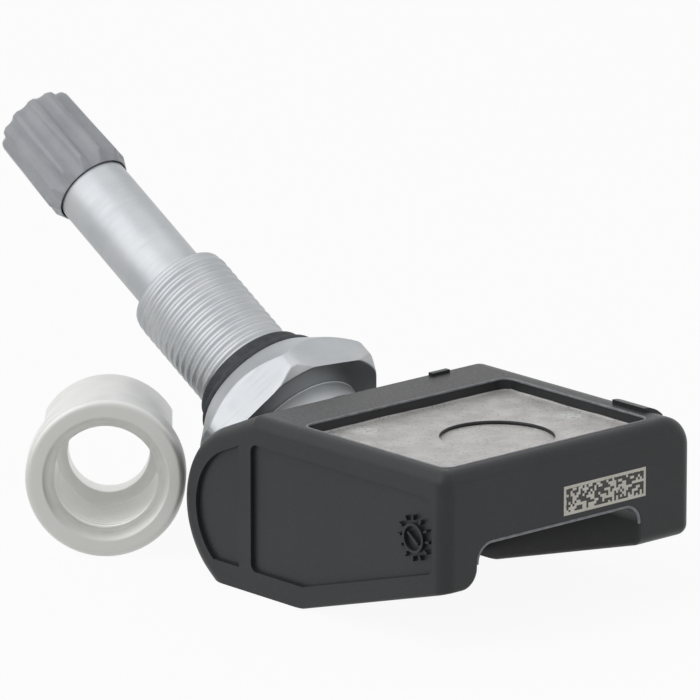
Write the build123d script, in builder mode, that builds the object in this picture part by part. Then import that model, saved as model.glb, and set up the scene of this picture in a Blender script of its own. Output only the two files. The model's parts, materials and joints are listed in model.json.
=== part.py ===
"""Clamp-in tyre pressure sensor: a potted plastic housing carried on an aluminium tyre valve.

The origin is the middle of the flat sole. +Y points towards the valve, +Z up, and X = 0 is the
plane of the valve's axis. The collar nut is off the valve and lies on the surface beside it.
"""

import os
from math import atan, atan2, cos, hypot, radians, sin, tan

from build123d import *

os.makedirs("parts", exist_ok=True)

# Driving dimensions, in millimetres and degrees

# Housing: outer form
HOUSING_WIDTH = 33.6
HOUSING_HEIGHT = 18.3
SOLE_LENGTH = 14.3
UNDERSIDE_RUN = 21.0
FRONT_LIFT = 6.1
TOP_LENGTH = 28.6
BACK_SLOPE_RUN = 4.6
BACK_SLOPE_DROP = 2.0
HOUSING_LENGTH = 39.4
NOSE_HEIGHT = 7.75
NOSE_TOP_RADIUS = 9.0
NOSE_FOOT_DROP = 4.65
NOSE_FOOT_RADIUS = 10.0
FRONT_CORNER_RADIUS = 1.4
RIGHT_EDGE_RADIUS = 3.2
RIGHT_LEG_EDGE_RADIUS = 1.2
RIM_PAD_WIDTH = 2.6
RIM_PAD_LENGTH = 4.6
RIM_PAD_HEIGHT = 0.4
RIM_PAD_FROM_FRONT = 3.8
GATE_PIP_LENGTH = 2.4
GATE_PIP_WIDTH = 0.6
GATE_PIP_HEIGHT = 0.3
GATE_PIP_X = 8.3

# Housing: tray that is filled with resin
TRAY_LEFT_RIM = 1.6
TRAY_RIGHT_RIM = 4.4
TRAY_FRONT_RIM = 1.6
TRAY_LENGTH = 21.2
TRAY_DEPTH = 5.0
TRAY_CORNER_RADIUS = 1.2
LEDGE_WIDTH = 1.0

# Housing: channel underneath, open at the front wall and closed by a keel at the back
LEFT_LEG_WIDTH = 4.5
RIGHT_LEG_WIDTH = 7.4
ROOF_THICKNESS = 1.2
KEEL_SETBACK = 3.6
CHANNEL_RADIUS = 1.8
CHANNEL_EDGE_RADIUS = 0.35
LEFT_LEG_EDGE_RADIUS = 2.0

# Housing: shallow panels and moulding dial on the left end
PANEL_DEPTH = 0.45
PANEL_MARGIN = 2.3
PANEL_TOP_MARGIN = 2.8
PANEL_FRONT_MARGIN = 1.9
PANEL_CORNER_RADIUS = 0.8
PANEL_RIB_SETBACK = 1.05
PANEL_RIB_WIDTH = 1.8
DIAL_FROM_FRONT = 4.7
DIAL_FROM_TOP = 7.4
DIAL_RADIUS = 1.5
DIAL_RING = 0.25
DIAL_POINTER_LENGTH = 1.8
DIAL_POINTER_TURN = 35.0
DIAL_TICKS = 12
DIAL_TICK_RADIUS = 2.1
DIAL_TICK_LENGTH = 0.5
DIAL_TICK_WIDTH = 0.2

# Resin fill
RESIN_DROP = 1.3
DIMPLE_OFFSET = 1.3
DIMPLE_RADIUS = 5.8
DIMPLE_DEPTH = 0.4

# Electronics
BOARD_THICKNESS = 0.8
BOARD_CLEARANCE = 0.2
BOARD_NOTCH_RADIUS = 2.4
CHIP_SIZE = 5.0
CHIP_HEIGHT = 1.3
CHIP_OFFSET = 3.95
PORT_RADIUS = 0.8
GASKET_RADIUS = 2.2
GASKET_THICKNESS = 0.5
FILTER_RADIUS = 2.2
FILTER_THICKNESS = 0.3
CELL_RADIUS = 6.25
CELL_HEIGHT = 2.0
CELL_EDGE = 0.3
CELL_OFFSET = 1.65
TAB_WIDTH = 2.4
TAB_THICKNESS = 0.2
TAB_FOOT = 1.2
TAB_GAP = 0.4
TAB_SPACING = 5.0
COIL_LENGTH = 7.0
COIL_WIDTH = 2.6
COIL_HEIGHT = 2.2
COIL_EDGE = 0.3
COIL_FROM_BACK = 1.3
ANTENNA_STRIP_WIDTH = 1.2
ANTENNA_STRIP_THICKNESS = 0.3
ANTENNA_SPAN = 15.0
ANTENNA_RISE = 2.2
ANTENNA_FROM_EDGE = 2.4
CRYSTAL_LENGTH = 3.2
CRYSTAL_WIDTH = 2.5
CRYSTAL_HEIGHT = 0.9
CRYSTAL_CORNER = 0.5
CRYSTAL_GAP = 1.6
CAPACITOR_LENGTH = 1.6
CAPACITOR_WIDTH = 0.8
CAPACITOR_FROM_EDGE = 0.6
CAPACITOR_PITCH = 2.4
CAPACITOR_COUNT = 4

# Valve stem: SEAT is the middle of the hexagon's lower face
STEM_ELEVATION = 31.2
SEAT_BEHIND_NOSE = 0.95
SEAT_ABOVE_NOSE = 3.4
HEX_ACROSS_FLATS = 19.2
HEX_TURN = 5.0
HEX_CORNER_RADIUS = 10.8
HEX_STRAIGHT = 2.6
HEX_HEIGHT = 6.4
HEX_TOP_RADIUS = 7.3
HEX_UNDER_CHAMFER = 0.8
SEAL_NECK_RADIUS = 5.0
SEAL_LIP_RADIUS = 7.2
SEAL_LIP_HEIGHT = 0.7
SEAL_RADIUS = 6.3
SEAL_HEIGHT = 2.2
COLLAR_RADIUS = 5.5
COLLAR_LENGTH = 13.2
COLLAR_CHAMFER = 0.5
COLLAR_RIDGES = 7
THREAD_DEPTH = 0.5
STEM_RADIUS = 3.9
STEM_LENGTH = 25.0
VALVE_THREAD_RADIUS = 3.65
VALVE_THREAD_LENGTH = 8.2
FOOT_RADIUS = 7.0
FOOT_LENGTH = 2.6
SPIGOT_RADIUS = 5.0
SPIGOT_LENGTH = 5.9
AIR_BORE_RADIUS = 1.5
AIR_BORE_BELOW_SEAT = 2.0
AIR_HOLE_RADIUS = 0.7
BOSS_RADIUS = 7.6
BOSS_LENGTH = 5.6
SOCKET_CLEARANCE = 0.05
FOOT_CLEARANCE = 0.4

# Fixing screw that draws the spigot into the housing
SCREW_RADIUS = 1.25
SCREW_GRIP = 5.0
SCREW_WEB = 2.0
SCREW_HOLE_CLEARANCE = 0.15
SCREW_HEAD_RADIUS = 2.25
SCREW_HEAD_HEIGHT = 1.7
SCREW_DRIVE_RADIUS = 1.0
SCREW_DRIVE_DEPTH = 0.9
WASHER_RADIUS = 2.5
WASHER_THICKNESS = 0.5
COUNTERBORE_CLEARANCE = 0.3

# Valve core
CORE_THREAD_RADIUS = 2.65
CORE_THREAD_LENGTH = 5.0
CORE_CHAMBER_RADIUS = 2.1
CORE_CHAMBER_LENGTH = 16.0
CORE_TAPER = 1.0
CORE_RECESS = 0.6
CORE_PLUG_LENGTH = 4.0
CORE_BARREL_RADIUS = 1.7
CORE_BARREL_LENGTH = 8.0
CORE_SPRING_POCKET_RADIUS = 1.4
CORE_SPRING_POCKET_LENGTH = 6.0
CORE_GUIDE_RADIUS = 0.75
CORE_END_WALL = 1.2
CORE_RING_LENGTH = 2.0
CORE_FIT = 0.02
PIN_RADIUS = 0.6
PIN_RECESS = 0.3
PIN_COLLAR_RADIUS = 1.2
PIN_COLLAR_HEIGHT = 0.5
CUP_RADIUS = 1.7
CUP_HEIGHT = 0.6
CUP_SEAL_HEIGHT = 0.6
CUP_GAP = 0.05
SPRING_WIRE_RADIUS = 0.14
SPRING_RADIUS = 1.0
SPRING_TURNS = 5

# Valve cap
CAP_RIM_RADIUS = 4.75
CAP_TOP_RADIUS = 4.45
CAP_LENGTH = 11.0
CAP_ROOF = 1.2
CAP_BORE_CLEARANCE = 0.15
CAP_SKIRT_DEPTH = 1.6
CAP_EDGE = 0.7
CAP_FLUTES = 12
CAP_FLUTE_RADIUS = 1.3
CAP_FLUTE_DEPTH = 0.35
CAP_TURN = 12.7
CAP_SEAL_THICKNESS = 0.6
CAP_SEAL_GAP = 0.05

# Collar nut
NUT_FLANGE_RADIUS = 8.15
NUT_FLANGE_HEIGHT = 4.0
NUT_BODY_RADIUS = 7.5
NUT_ACROSS_FLATS = 13.0
NUT_FLATS_LENGTH = 8.0
NUT_LENGTH = 16.2
NUT_THREAD_DEPTH = 12.0
NUT_THREAD_CLEARANCE = 0.1
NUT_EXIT_CLEARANCE = 0.3
NUT_MOUTH_CHAMFER = 0.8
NUT_RIM_CHAMFER = 0.7
NUT_BACK_CHAMFER = 0.3
NUT_DRILL_CONE = 0.8
NUT_BESIDE_HOUSING = 2.9
NUT_BEHIND_NOSE = 8.35
NUT_HEADING = 41.9

# Places worked out from the driving dimensions

HALF_WIDTH = HOUSING_WIDTH / 2
SOLE_BACK = SOLE_LENGTH / 2
SOLE_FRONT = -SOLE_LENGTH / 2
FRONT_Y = SOLE_FRONT - UNDERSIDE_RUN
TOP_END = FRONT_Y + TOP_LENGTH
NOSE_Y = FRONT_Y + HOUSING_LENGTH
BACK_SLOPE = BACK_SLOPE_DROP / BACK_SLOPE_RUN
NOSE_TOP = HOUSING_HEIGHT - BACK_SLOPE * (NOSE_Y - TOP_END)
NOSE_FOOT = NOSE_HEIGHT - NOSE_FOOT_DROP
TRAY_LEFT = -HALF_WIDTH + TRAY_LEFT_RIM
TRAY_RIGHT = HALF_WIDTH - TRAY_RIGHT_RIM
TRAY_WIDTH = TRAY_RIGHT - TRAY_LEFT
TRAY_X = (TRAY_LEFT + TRAY_RIGHT) / 2
TRAY_FRONT = FRONT_Y + TRAY_FRONT_RIM
TRAY_BACK = TRAY_FRONT + TRAY_LENGTH
TRAY_Y = (TRAY_FRONT + TRAY_BACK) / 2
LEDGE_HEIGHT = HOUSING_HEIGHT - TRAY_DEPTH
TRAY_FLOOR = LEDGE_HEIGHT - CHIP_HEIGHT - GASKET_THICKNESS
CHANNEL_LEFT = -HALF_WIDTH + LEFT_LEG_WIDTH
CHANNEL_RIGHT = HALF_WIDTH - RIGHT_LEG_WIDTH
CHANNEL_ROOF = TRAY_FLOOR - ROOF_THICKNESS
CHANNEL_LENGTH = UNDERSIDE_RUN + KEEL_SETBACK
PANEL_RIB_Y = TOP_END + PANEL_RIB_SETBACK
PANEL_BACK = PANEL_RIB_Y - PANEL_RIB_WIDTH / 2
PANEL_FRONT = FRONT_Y + PANEL_FRONT_MARGIN
DIAL_Y = FRONT_Y + DIAL_FROM_FRONT
DIAL_Z = HOUSING_HEIGHT - DIAL_FROM_TOP
RESIN_TOP = HOUSING_HEIGHT - RESIN_DROP
BOARD_TOP = LEDGE_HEIGHT + BOARD_THICKNESS
BOARD_WIDTH = TRAY_WIDTH - 2 * BOARD_CLEARANCE
BOARD_LENGTH = TRAY_LENGTH - 2 * BOARD_CLEARANCE
CHIP_Y = TRAY_Y + CHIP_OFFSET
CELL_Y = TRAY_Y - CELL_OFFSET
CELL_BOTTOM = BOARD_TOP + TAB_THICKNESS
CELL_TOP = CELL_BOTTOM + CELL_HEIGHT
TAB_DROP = TRAY_X - CELL_RADIUS - TAB_GAP
COIL_Y = TRAY_BACK - COIL_FROM_BACK - COIL_WIDTH / 2
CRYSTAL_X = TRAY_X - COIL_LENGTH / 2 - CRYSTAL_GAP - CRYSTAL_LENGTH / 2
CAPACITOR_X = TRAY_LEFT + CAPACITOR_FROM_EDGE + CAPACITOR_LENGTH / 2
ANTENNA_X = TRAY_RIGHT - ANTENNA_FROM_EDGE
SEAT_Y = NOSE_Y + SEAT_BEHIND_NOSE
SEAT_Z = NOSE_HEIGHT + SEAT_ABOVE_NOSE
NUT_X = -HALF_WIDTH - NUT_BESIDE_HOUSING
NUT_Y = NOSE_Y + NUT_BEHIND_NOSE

# Places along the valve, measured from the seat towards the cap
SEAL_TOP = HEX_HEIGHT + SEAL_HEIGHT
COLLAR_TOP = SEAL_TOP + COLLAR_LENGTH
THREAD_PITCH = COLLAR_LENGTH / COLLAR_RIDGES
STEM_TOP = COLLAR_TOP + STEM_LENGTH
SPIGOT_END = -FOOT_LENGTH - SPIGOT_LENGTH
SCREW_SEAT = SPIGOT_END - SCREW_WEB
SCREW_HEAD_TOP = SCREW_SEAT - WASHER_THICKNESS
SCREW_HEAD_END = SCREW_HEAD_TOP - SCREW_HEAD_HEIGHT
SCREW_HOLE_RADIUS = SCREW_RADIUS + SCREW_HOLE_CLEARANCE
COUNTERBORE_RADIUS = WASHER_RADIUS + COUNTERBORE_CLEARANCE
CORE_TOP = STEM_TOP - CORE_RECESS
PLUG_END = CORE_TOP - CORE_PLUG_LENGTH
BARREL_END = PLUG_END - CORE_BARREL_LENGTH
CHAMBER_START = STEM_TOP - CORE_THREAD_LENGTH
CHAMBER_END = STEM_TOP - CORE_CHAMBER_LENGTH
SPRING_POCKET_END = BARREL_END + CORE_END_WALL
SPRING_POCKET_TOP = SPRING_POCKET_END + CORE_SPRING_POCKET_LENGTH
PIN_TOP = STEM_TOP - PIN_RECESS
PIN_COLLAR_TOP = SPRING_POCKET_TOP - CUP_GAP
PIN_COLLAR_BOTTOM = PIN_COLLAR_TOP - PIN_COLLAR_HEIGHT
CUP_SEAL_TOP = BARREL_END - CUP_GAP
CUP_TOP = CUP_SEAL_TOP - CUP_SEAL_HEIGHT
CUP_BOTTOM = CUP_TOP - CUP_HEIGHT
CAP_SEAL_BOTTOM = STEM_TOP + CAP_SEAL_GAP
CAP_BORE_TOP = CAP_SEAL_BOTTOM + CAP_SEAL_THICKNESS
CAP_TOP = CAP_BORE_TOP + CAP_ROOF
CAP_RIM = CAP_TOP - CAP_LENGTH
VALVE_THREAD_START = STEM_TOP - VALVE_THREAD_LENGTH

# The valve's axis, its cross-section plane and the plane square to it at the seat
AXIS_Y = cos(radians(STEM_ELEVATION))
AXIS_Z = sin(radians(STEM_ELEVATION))
SEAT = (0, SEAT_Y, SEAT_Z)
STEM_AXIS = Axis(SEAT, (0, AXIS_Y, AXIS_Z))
STEM_SECTION = Plane(SEAT, x_dir=(1, 0, 0), z_dir=(0, -AXIS_Z, AXIS_Y))
STEM_PLANE = Plane(SEAT, x_dir=(1, 0, 0), z_dir=(0, AXIS_Y, AXIS_Z))
FRONT_PLANE = Plane((0, FRONT_Y, 0), x_dir=(1, 0, 0), z_dir=(0, -1, 0))
LEFT_PLANE = Plane((-HALF_WIDTH, 0, 0), x_dir=(0, 1, 0), z_dir=(1, 0, 0))


def turned(*points):
    """Half section about the valve's axis, from (radius, place along the valve) points."""
    with BuildSketch(STEM_SECTION) as section:
        with BuildLine():
            Polyline(*points, close=True)
        make_face()
    return section.sketch


def end_profile():
    """Outline of the housing seen from its left end, as (Y, Z).

    The lower rounding of the nose is limited by what the upper one leaves of the upright.
    """
    upright = NOSE_TOP - NOSE_FOOT - NOSE_TOP_RADIUS * tan((radians(90) - atan(BACK_SLOPE)) / 2)
    foot_turn = abs(atan2(NOSE_Y - SOLE_BACK, NOSE_FOOT))
    foot_room = min(upright, hypot(NOSE_Y - SOLE_BACK, NOSE_FOOT)) / tan(foot_turn / 2)
    with BuildSketch(Plane.YZ) as outline:
        with BuildLine():
            FilletPolyline(
                (TOP_END, HOUSING_HEIGHT),
                (NOSE_Y, NOSE_TOP),
                (NOSE_Y, NOSE_FOOT),
                (SOLE_BACK, 0),
                radius=(NOSE_TOP_RADIUS, min(NOSE_FOOT_RADIUS, foot_room)),
            )
            Polyline(
                (SOLE_BACK, 0),
                (SOLE_FRONT, 0),
                (FRONT_Y, FRONT_LIFT),
                (FRONT_Y, HOUSING_HEIGHT),
                (TOP_END, HOUSING_HEIGHT),
            )
        make_face()
    return outline.sketch


def is_upper_edge(edge):
    """True for the edges of an end face that run along the top and down to the nose."""
    return edge.center().Z > NOSE_HEIGHT + 1 and edge.center().Y > FRONT_Y + 1


def is_underside_slope(face):
    """True for the faces that rise from the sole to the front wall."""
    middle = face.center()
    return face.normal_at(middle).Z < -0.5 and SOLE_FRONT > middle.Y > FRONT_Y and middle.Z < FRONT_LIFT


def tray_outline(height, inset=0):
    """The tray's opening at a height, drawn in by an inset."""
    with BuildSketch(Plane.XY.offset(height)) as outline:
        with Locations((TRAY_X, TRAY_Y)):
            RectangleRounded(TRAY_WIDTH - 2 * inset, TRAY_LENGTH - 2 * inset, TRAY_CORNER_RADIUS)
    return outline.sketch


# Housing: wedge body, stem boss, tray, channel, screw hole, air port and end panels
with BuildPart() as housing:
    extrude(end_profile(), amount=HALF_WIDTH, both=True)
    right_side = housing.faces().sort_by(Axis.X)[-1]
    fillet(right_side.edges().filter_by(is_upper_edge), RIGHT_EDGE_RADIUS)
    left_side = housing.faces().sort_by(Axis.X)[0]
    front_face = housing.faces().sort_by(Axis.Y)[0]
    fillet(left_side.edges().filter_by(is_upper_edge) + front_face.edges().filter_by(Axis.Z),
           FRONT_CORNER_RADIUS)
    with BuildSketch(STEM_PLANE.offset(-FOOT_LENGTH)):
        Circle(BOSS_RADIUS)
    extrude(amount=-BOSS_LENGTH)
    extrude(tray_outline(HOUSING_HEIGHT), amount=LEDGE_HEIGHT - HOUSING_HEIGHT, mode=Mode.SUBTRACT)
    extrude(tray_outline(LEDGE_HEIGHT, LEDGE_WIDTH), amount=TRAY_FLOOR - LEDGE_HEIGHT, mode=Mode.SUBTRACT)
    with BuildSketch(FRONT_PLANE):
        with BuildLine():
            FilletPolyline(
                (CHANNEL_LEFT, -1),
                (CHANNEL_LEFT, CHANNEL_ROOF),
                (CHANNEL_RIGHT, CHANNEL_ROOF),
                (CHANNEL_RIGHT, -1),
                radius=CHANNEL_RADIUS,
            )
            Line((CHANNEL_RIGHT, -1), (CHANNEL_LEFT, -1))
        make_face()
    extrude(amount=-CHANNEL_LENGTH, mode=Mode.SUBTRACT)
    legs = housing.faces().filter_by(is_underside_slope).sort_by(Axis.X)
    fillet(legs[0].edges().sort_by(Axis.X)[-1], LEFT_LEG_EDGE_RADIUS)
    legs = housing.faces().filter_by(is_underside_slope).sort_by(Axis.X)
    fillet(legs[-1].edges().sort_by(Axis.X)[-1], RIGHT_LEG_EDGE_RADIUS)
    front_face = housing.faces().sort_by(Axis.Y)[0]
    roof_edge = front_face.edges().filter_by(Axis.X).sort_by_distance((TRAY_X, FRONT_Y, CHANNEL_ROOF))[0]
    fillet(roof_edge, CHANNEL_EDGE_RADIUS)
    revolve(turned(
        (0, HEX_HEIGHT),
        (FOOT_RADIUS + FOOT_CLEARANCE, HEX_HEIGHT),
        (FOOT_RADIUS + FOOT_CLEARANCE, -FOOT_LENGTH),
        (SPIGOT_RADIUS + SOCKET_CLEARANCE, -FOOT_LENGTH),
        (SPIGOT_RADIUS + SOCKET_CLEARANCE, SPIGOT_END),
        (SCREW_HOLE_RADIUS, SPIGOT_END),
        (SCREW_HOLE_RADIUS, SCREW_SEAT),
        (COUNTERBORE_RADIUS, SCREW_SEAT),
        (COUNTERBORE_RADIUS, SCREW_SEAT - HOUSING_LENGTH),
        (0, SCREW_SEAT - HOUSING_LENGTH),
    ), axis=STEM_AXIS, mode=Mode.SUBTRACT)
    with BuildSketch(Plane.XY.offset(TRAY_FLOOR)):
        with Locations((TRAY_X, CHIP_Y)):
            Circle(PORT_RADIUS)
    extrude(amount=CHANNEL_ROOF - TRAY_FLOOR, mode=Mode.SUBTRACT)
    with BuildSketch(Plane.XY.offset(CHANNEL_ROOF)):
        with Locations((TRAY_X, CHIP_Y)):
            Circle(FILTER_RADIUS)
    extrude(amount=FILTER_THICKNESS, mode=Mode.SUBTRACT)
    with BuildSketch(LEFT_PLANE):
        add(Plane.YZ.to_local_coords(end_profile()))
        offset(amount=-PANEL_MARGIN, mode=Mode.REPLACE)
        with Locations((PANEL_RIB_Y + PANEL_RIB_WIDTH / 2, 0)):
            Rectangle(HOUSING_LENGTH, HOUSING_HEIGHT, align=(Align.MAX, Align.MIN), mode=Mode.SUBTRACT)
        with BuildLine():
            FilletPolyline(
                (PANEL_BACK, PANEL_MARGIN),
                (SOLE_FRONT, PANEL_MARGIN),
                (PANEL_FRONT, PANEL_MARGIN + FRONT_LIFT * (SOLE_FRONT - PANEL_FRONT) / UNDERSIDE_RUN),
                (PANEL_FRONT, HOUSING_HEIGHT - PANEL_TOP_MARGIN),
                (PANEL_BACK, HOUSING_HEIGHT - PANEL_TOP_MARGIN),
                radius=PANEL_CORNER_RADIUS,
                close=True,
            )
        make_face()
        with Locations((DIAL_Y, DIAL_Z)):
            Circle(DIAL_RADIUS, mode=Mode.SUBTRACT)
            Circle(DIAL_RADIUS - DIAL_RING)
            Rectangle(DIAL_POINTER_LENGTH, DIAL_RING, rotation=DIAL_POINTER_TURN, mode=Mode.SUBTRACT)
            with PolarLocations(DIAL_TICK_RADIUS, DIAL_TICKS):
                Rectangle(DIAL_TICK_LENGTH, DIAL_TICK_WIDTH, mode=Mode.SUBTRACT)
    extrude(amount=PANEL_DEPTH, mode=Mode.SUBTRACT)
    with BuildSketch(FRONT_PLANE.offset(-RIM_PAD_FROM_FRONT)):
        with Locations((HALF_WIDTH - RIGHT_EDGE_RADIUS, HOUSING_HEIGHT - RIGHT_EDGE_RADIUS)):
            Circle(RIGHT_EDGE_RADIUS + RIM_PAD_HEIGHT)
            Rectangle(RIM_PAD_WIDTH, HOUSING_HEIGHT, align=(Align.MIN, Align.MIN), mode=Mode.INTERSECT)
    extrude(amount=-RIM_PAD_LENGTH)
    with BuildSketch(Plane.XY.offset(HOUSING_HEIGHT)):
        with Locations((GATE_PIP_X, TOP_END)):
            Rectangle(GATE_PIP_LENGTH, GATE_PIP_WIDTH, align=(Align.CENTER, Align.MAX))
    extrude(amount=GATE_PIP_HEIGHT)

# Circuit board on the tray's ledge, notched at both ends so that the resin runs under it
with BuildPart() as circuit_board:
    with BuildSketch(Plane.XY.offset(LEDGE_HEIGHT)):
        with Locations((TRAY_X, TRAY_Y)):
            RectangleRounded(BOARD_WIDTH, BOARD_LENGTH, TRAY_CORNER_RADIUS)
            with GridLocations(BOARD_WIDTH, 0, 2, 1):
                Circle(BOARD_NOTCH_RADIUS, mode=Mode.SUBTRACT)
    extrude(amount=BOARD_THICKNESS)

# Pressure sensing chip under the board, its gasket over the air port and the port's filter disc
with BuildPart() as sensor_chip:
    with BuildSketch(Plane.XY.offset(TRAY_FLOOR + GASKET_THICKNESS)):
        with Locations((TRAY_X, CHIP_Y)):
            Rectangle(CHIP_SIZE, CHIP_SIZE)
    extrude(amount=CHIP_HEIGHT)

with BuildPart() as port_gasket:
    with BuildSketch(Plane.XY.offset(TRAY_FLOOR)):
        with Locations((TRAY_X, CHIP_Y)):
            Circle(GASKET_RADIUS)
            Circle(PORT_RADIUS, mode=Mode.SUBTRACT)
    extrude(amount=GASKET_THICKNESS)

with BuildPart() as port_filter:
    with BuildSketch(Plane.XY.offset(CHANNEL_ROOF)):
        with Locations((TRAY_X, CHIP_Y)):
            Circle(FILTER_RADIUS)
    extrude(amount=FILTER_THICKNESS)

# Coin cell and its two welded tabs
with BuildPart() as battery_cell:
    with BuildSketch(Plane.XY.offset(CELL_BOTTOM)):
        with Locations((TRAY_X, CELL_Y)):
            Circle(CELL_RADIUS)
    extrude(amount=CELL_HEIGHT)
    chamfer(battery_cell.edges().sort_by(Axis.Z)[-1], CELL_EDGE)

with BuildPart() as battery_tab_minus:
    with BuildSketch(Plane.XY.offset(BOARD_TOP)):
        with Locations((TAB_DROP - TAB_FOOT, CELL_Y - TAB_SPACING / 2)):
            Rectangle(TRAY_X - TAB_DROP + TAB_FOOT, TAB_WIDTH, align=(Align.MIN, Align.CENTER))
    extrude(amount=TAB_THICKNESS)

with BuildPart() as battery_tab_plus:
    with BuildSketch(Plane((0, CELL_Y + TAB_SPACING / 2, 0), x_dir=(1, 0, 0), z_dir=(0, -1, 0))):
        with BuildLine():
            Polyline(
                (TRAY_X, CELL_TOP),
                (TAB_DROP, CELL_TOP),
                (TAB_DROP, BOARD_TOP),
                (TAB_DROP - TAB_FOOT, BOARD_TOP),
                (TAB_DROP - TAB_FOOT, BOARD_TOP + TAB_THICKNESS),
                (TAB_DROP - TAB_THICKNESS, BOARD_TOP + TAB_THICKNESS),
                (TAB_DROP - TAB_THICKNESS, CELL_TOP + TAB_THICKNESS),
                (TRAY_X, CELL_TOP + TAB_THICKNESS),
                close=True,
            )
        make_face()
    extrude(amount=TAB_WIDTH / 2, both=True)

# Low-frequency wake-up coil, quartz crystal and row of capacitors on the board
with BuildPart() as wake_coil:
    with BuildSketch(Plane.XY.offset(BOARD_TOP)):
        with Locations((TRAY_X, COIL_Y)):
            Rectangle(COIL_LENGTH, COIL_WIDTH)
    extrude(amount=COIL_HEIGHT)
    chamfer(wake_coil.edges().filter_by(Axis.X), COIL_EDGE)

with BuildPart() as crystal:
    with BuildSketch(Plane.XY.offset(BOARD_TOP)):
        with Locations((CRYSTAL_X, COIL_Y)):
            RectangleRounded(CRYSTAL_LENGTH, CRYSTAL_WIDTH, CRYSTAL_CORNER)
    extrude(amount=CRYSTAL_HEIGHT)

with BuildPart() as capacitors:
    with BuildSketch(Plane.XY.offset(BOARD_TOP)):
        with Locations((CAPACITOR_X, CELL_Y)):
            with GridLocations(0, CAPACITOR_PITCH, 1, CAPACITOR_COUNT):
                Rectangle(CAPACITOR_LENGTH, CAPACITOR_WIDTH)
    extrude(amount=CAPACITOR_WIDTH)

# Antenna: a bent strip standing on the board along the tray's right side
with BuildPart() as antenna:
    with BuildSketch(Plane((ANTENNA_X, TRAY_Y, BOARD_TOP), x_dir=(0, 1, 0), z_dir=(1, 0, 0))):
        Rectangle(ANTENNA_SPAN, ANTENNA_RISE, align=(Align.CENTER, Align.MIN))
        Rectangle(
            ANTENNA_SPAN - 2 * ANTENNA_STRIP_THICKNESS,
            ANTENNA_RISE - ANTENNA_STRIP_THICKNESS,
            align=(Align.CENTER, Align.MIN),
            mode=Mode.SUBTRACT,
        )
    extrude(amount=ANTENNA_STRIP_WIDTH / 2, both=True)

# Resin that fills the tray around the electronics, with a shallow round dimple
with BuildPart() as resin_fill:
    extrude(tray_outline(LEDGE_HEIGHT), amount=RESIN_TOP - LEDGE_HEIGHT)
    extrude(tray_outline(TRAY_FLOOR, LEDGE_WIDTH), amount=LEDGE_HEIGHT - TRAY_FLOOR)
    with BuildSketch(Plane.XY.offset(RESIN_TOP)):
        with Locations((TRAY_X + DIMPLE_OFFSET, CELL_Y)):
            Circle(DIMPLE_RADIUS)
    extrude(amount=-DIMPLE_DEPTH, mode=Mode.SUBTRACT)
    for piece in (circuit_board, sensor_chip, port_gasket, battery_cell, battery_tab_minus,
                  battery_tab_plus, wake_coil, crystal, capacitors, antenna):
        add(piece.part, mode=Mode.SUBTRACT)
    with BuildSketch(Plane.XY.offset(TRAY_FLOOR)):
        with Locations((TRAY_X, CHIP_Y)):
            Circle(PORT_RADIUS)
    extrude(amount=GASKET_THICKNESS, mode=Mode.SUBTRACT)


def thread_grooves(radius, start, end, depth):
    """Points of a bore or shaft wall with a ring groove at each thread pitch, from start to end."""
    wall = []
    for number in range(1, int((end - start) / THREAD_PITCH) + 1):
        middle = start + number * THREAD_PITCH - THREAD_PITCH / 2
        wall.append((radius, middle - THREAD_DEPTH))
        wall.append((radius + depth, middle))
        wall.append((radius, middle + THREAD_DEPTH))
    return [(radius, start), *wall, (radius, end)]


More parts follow.
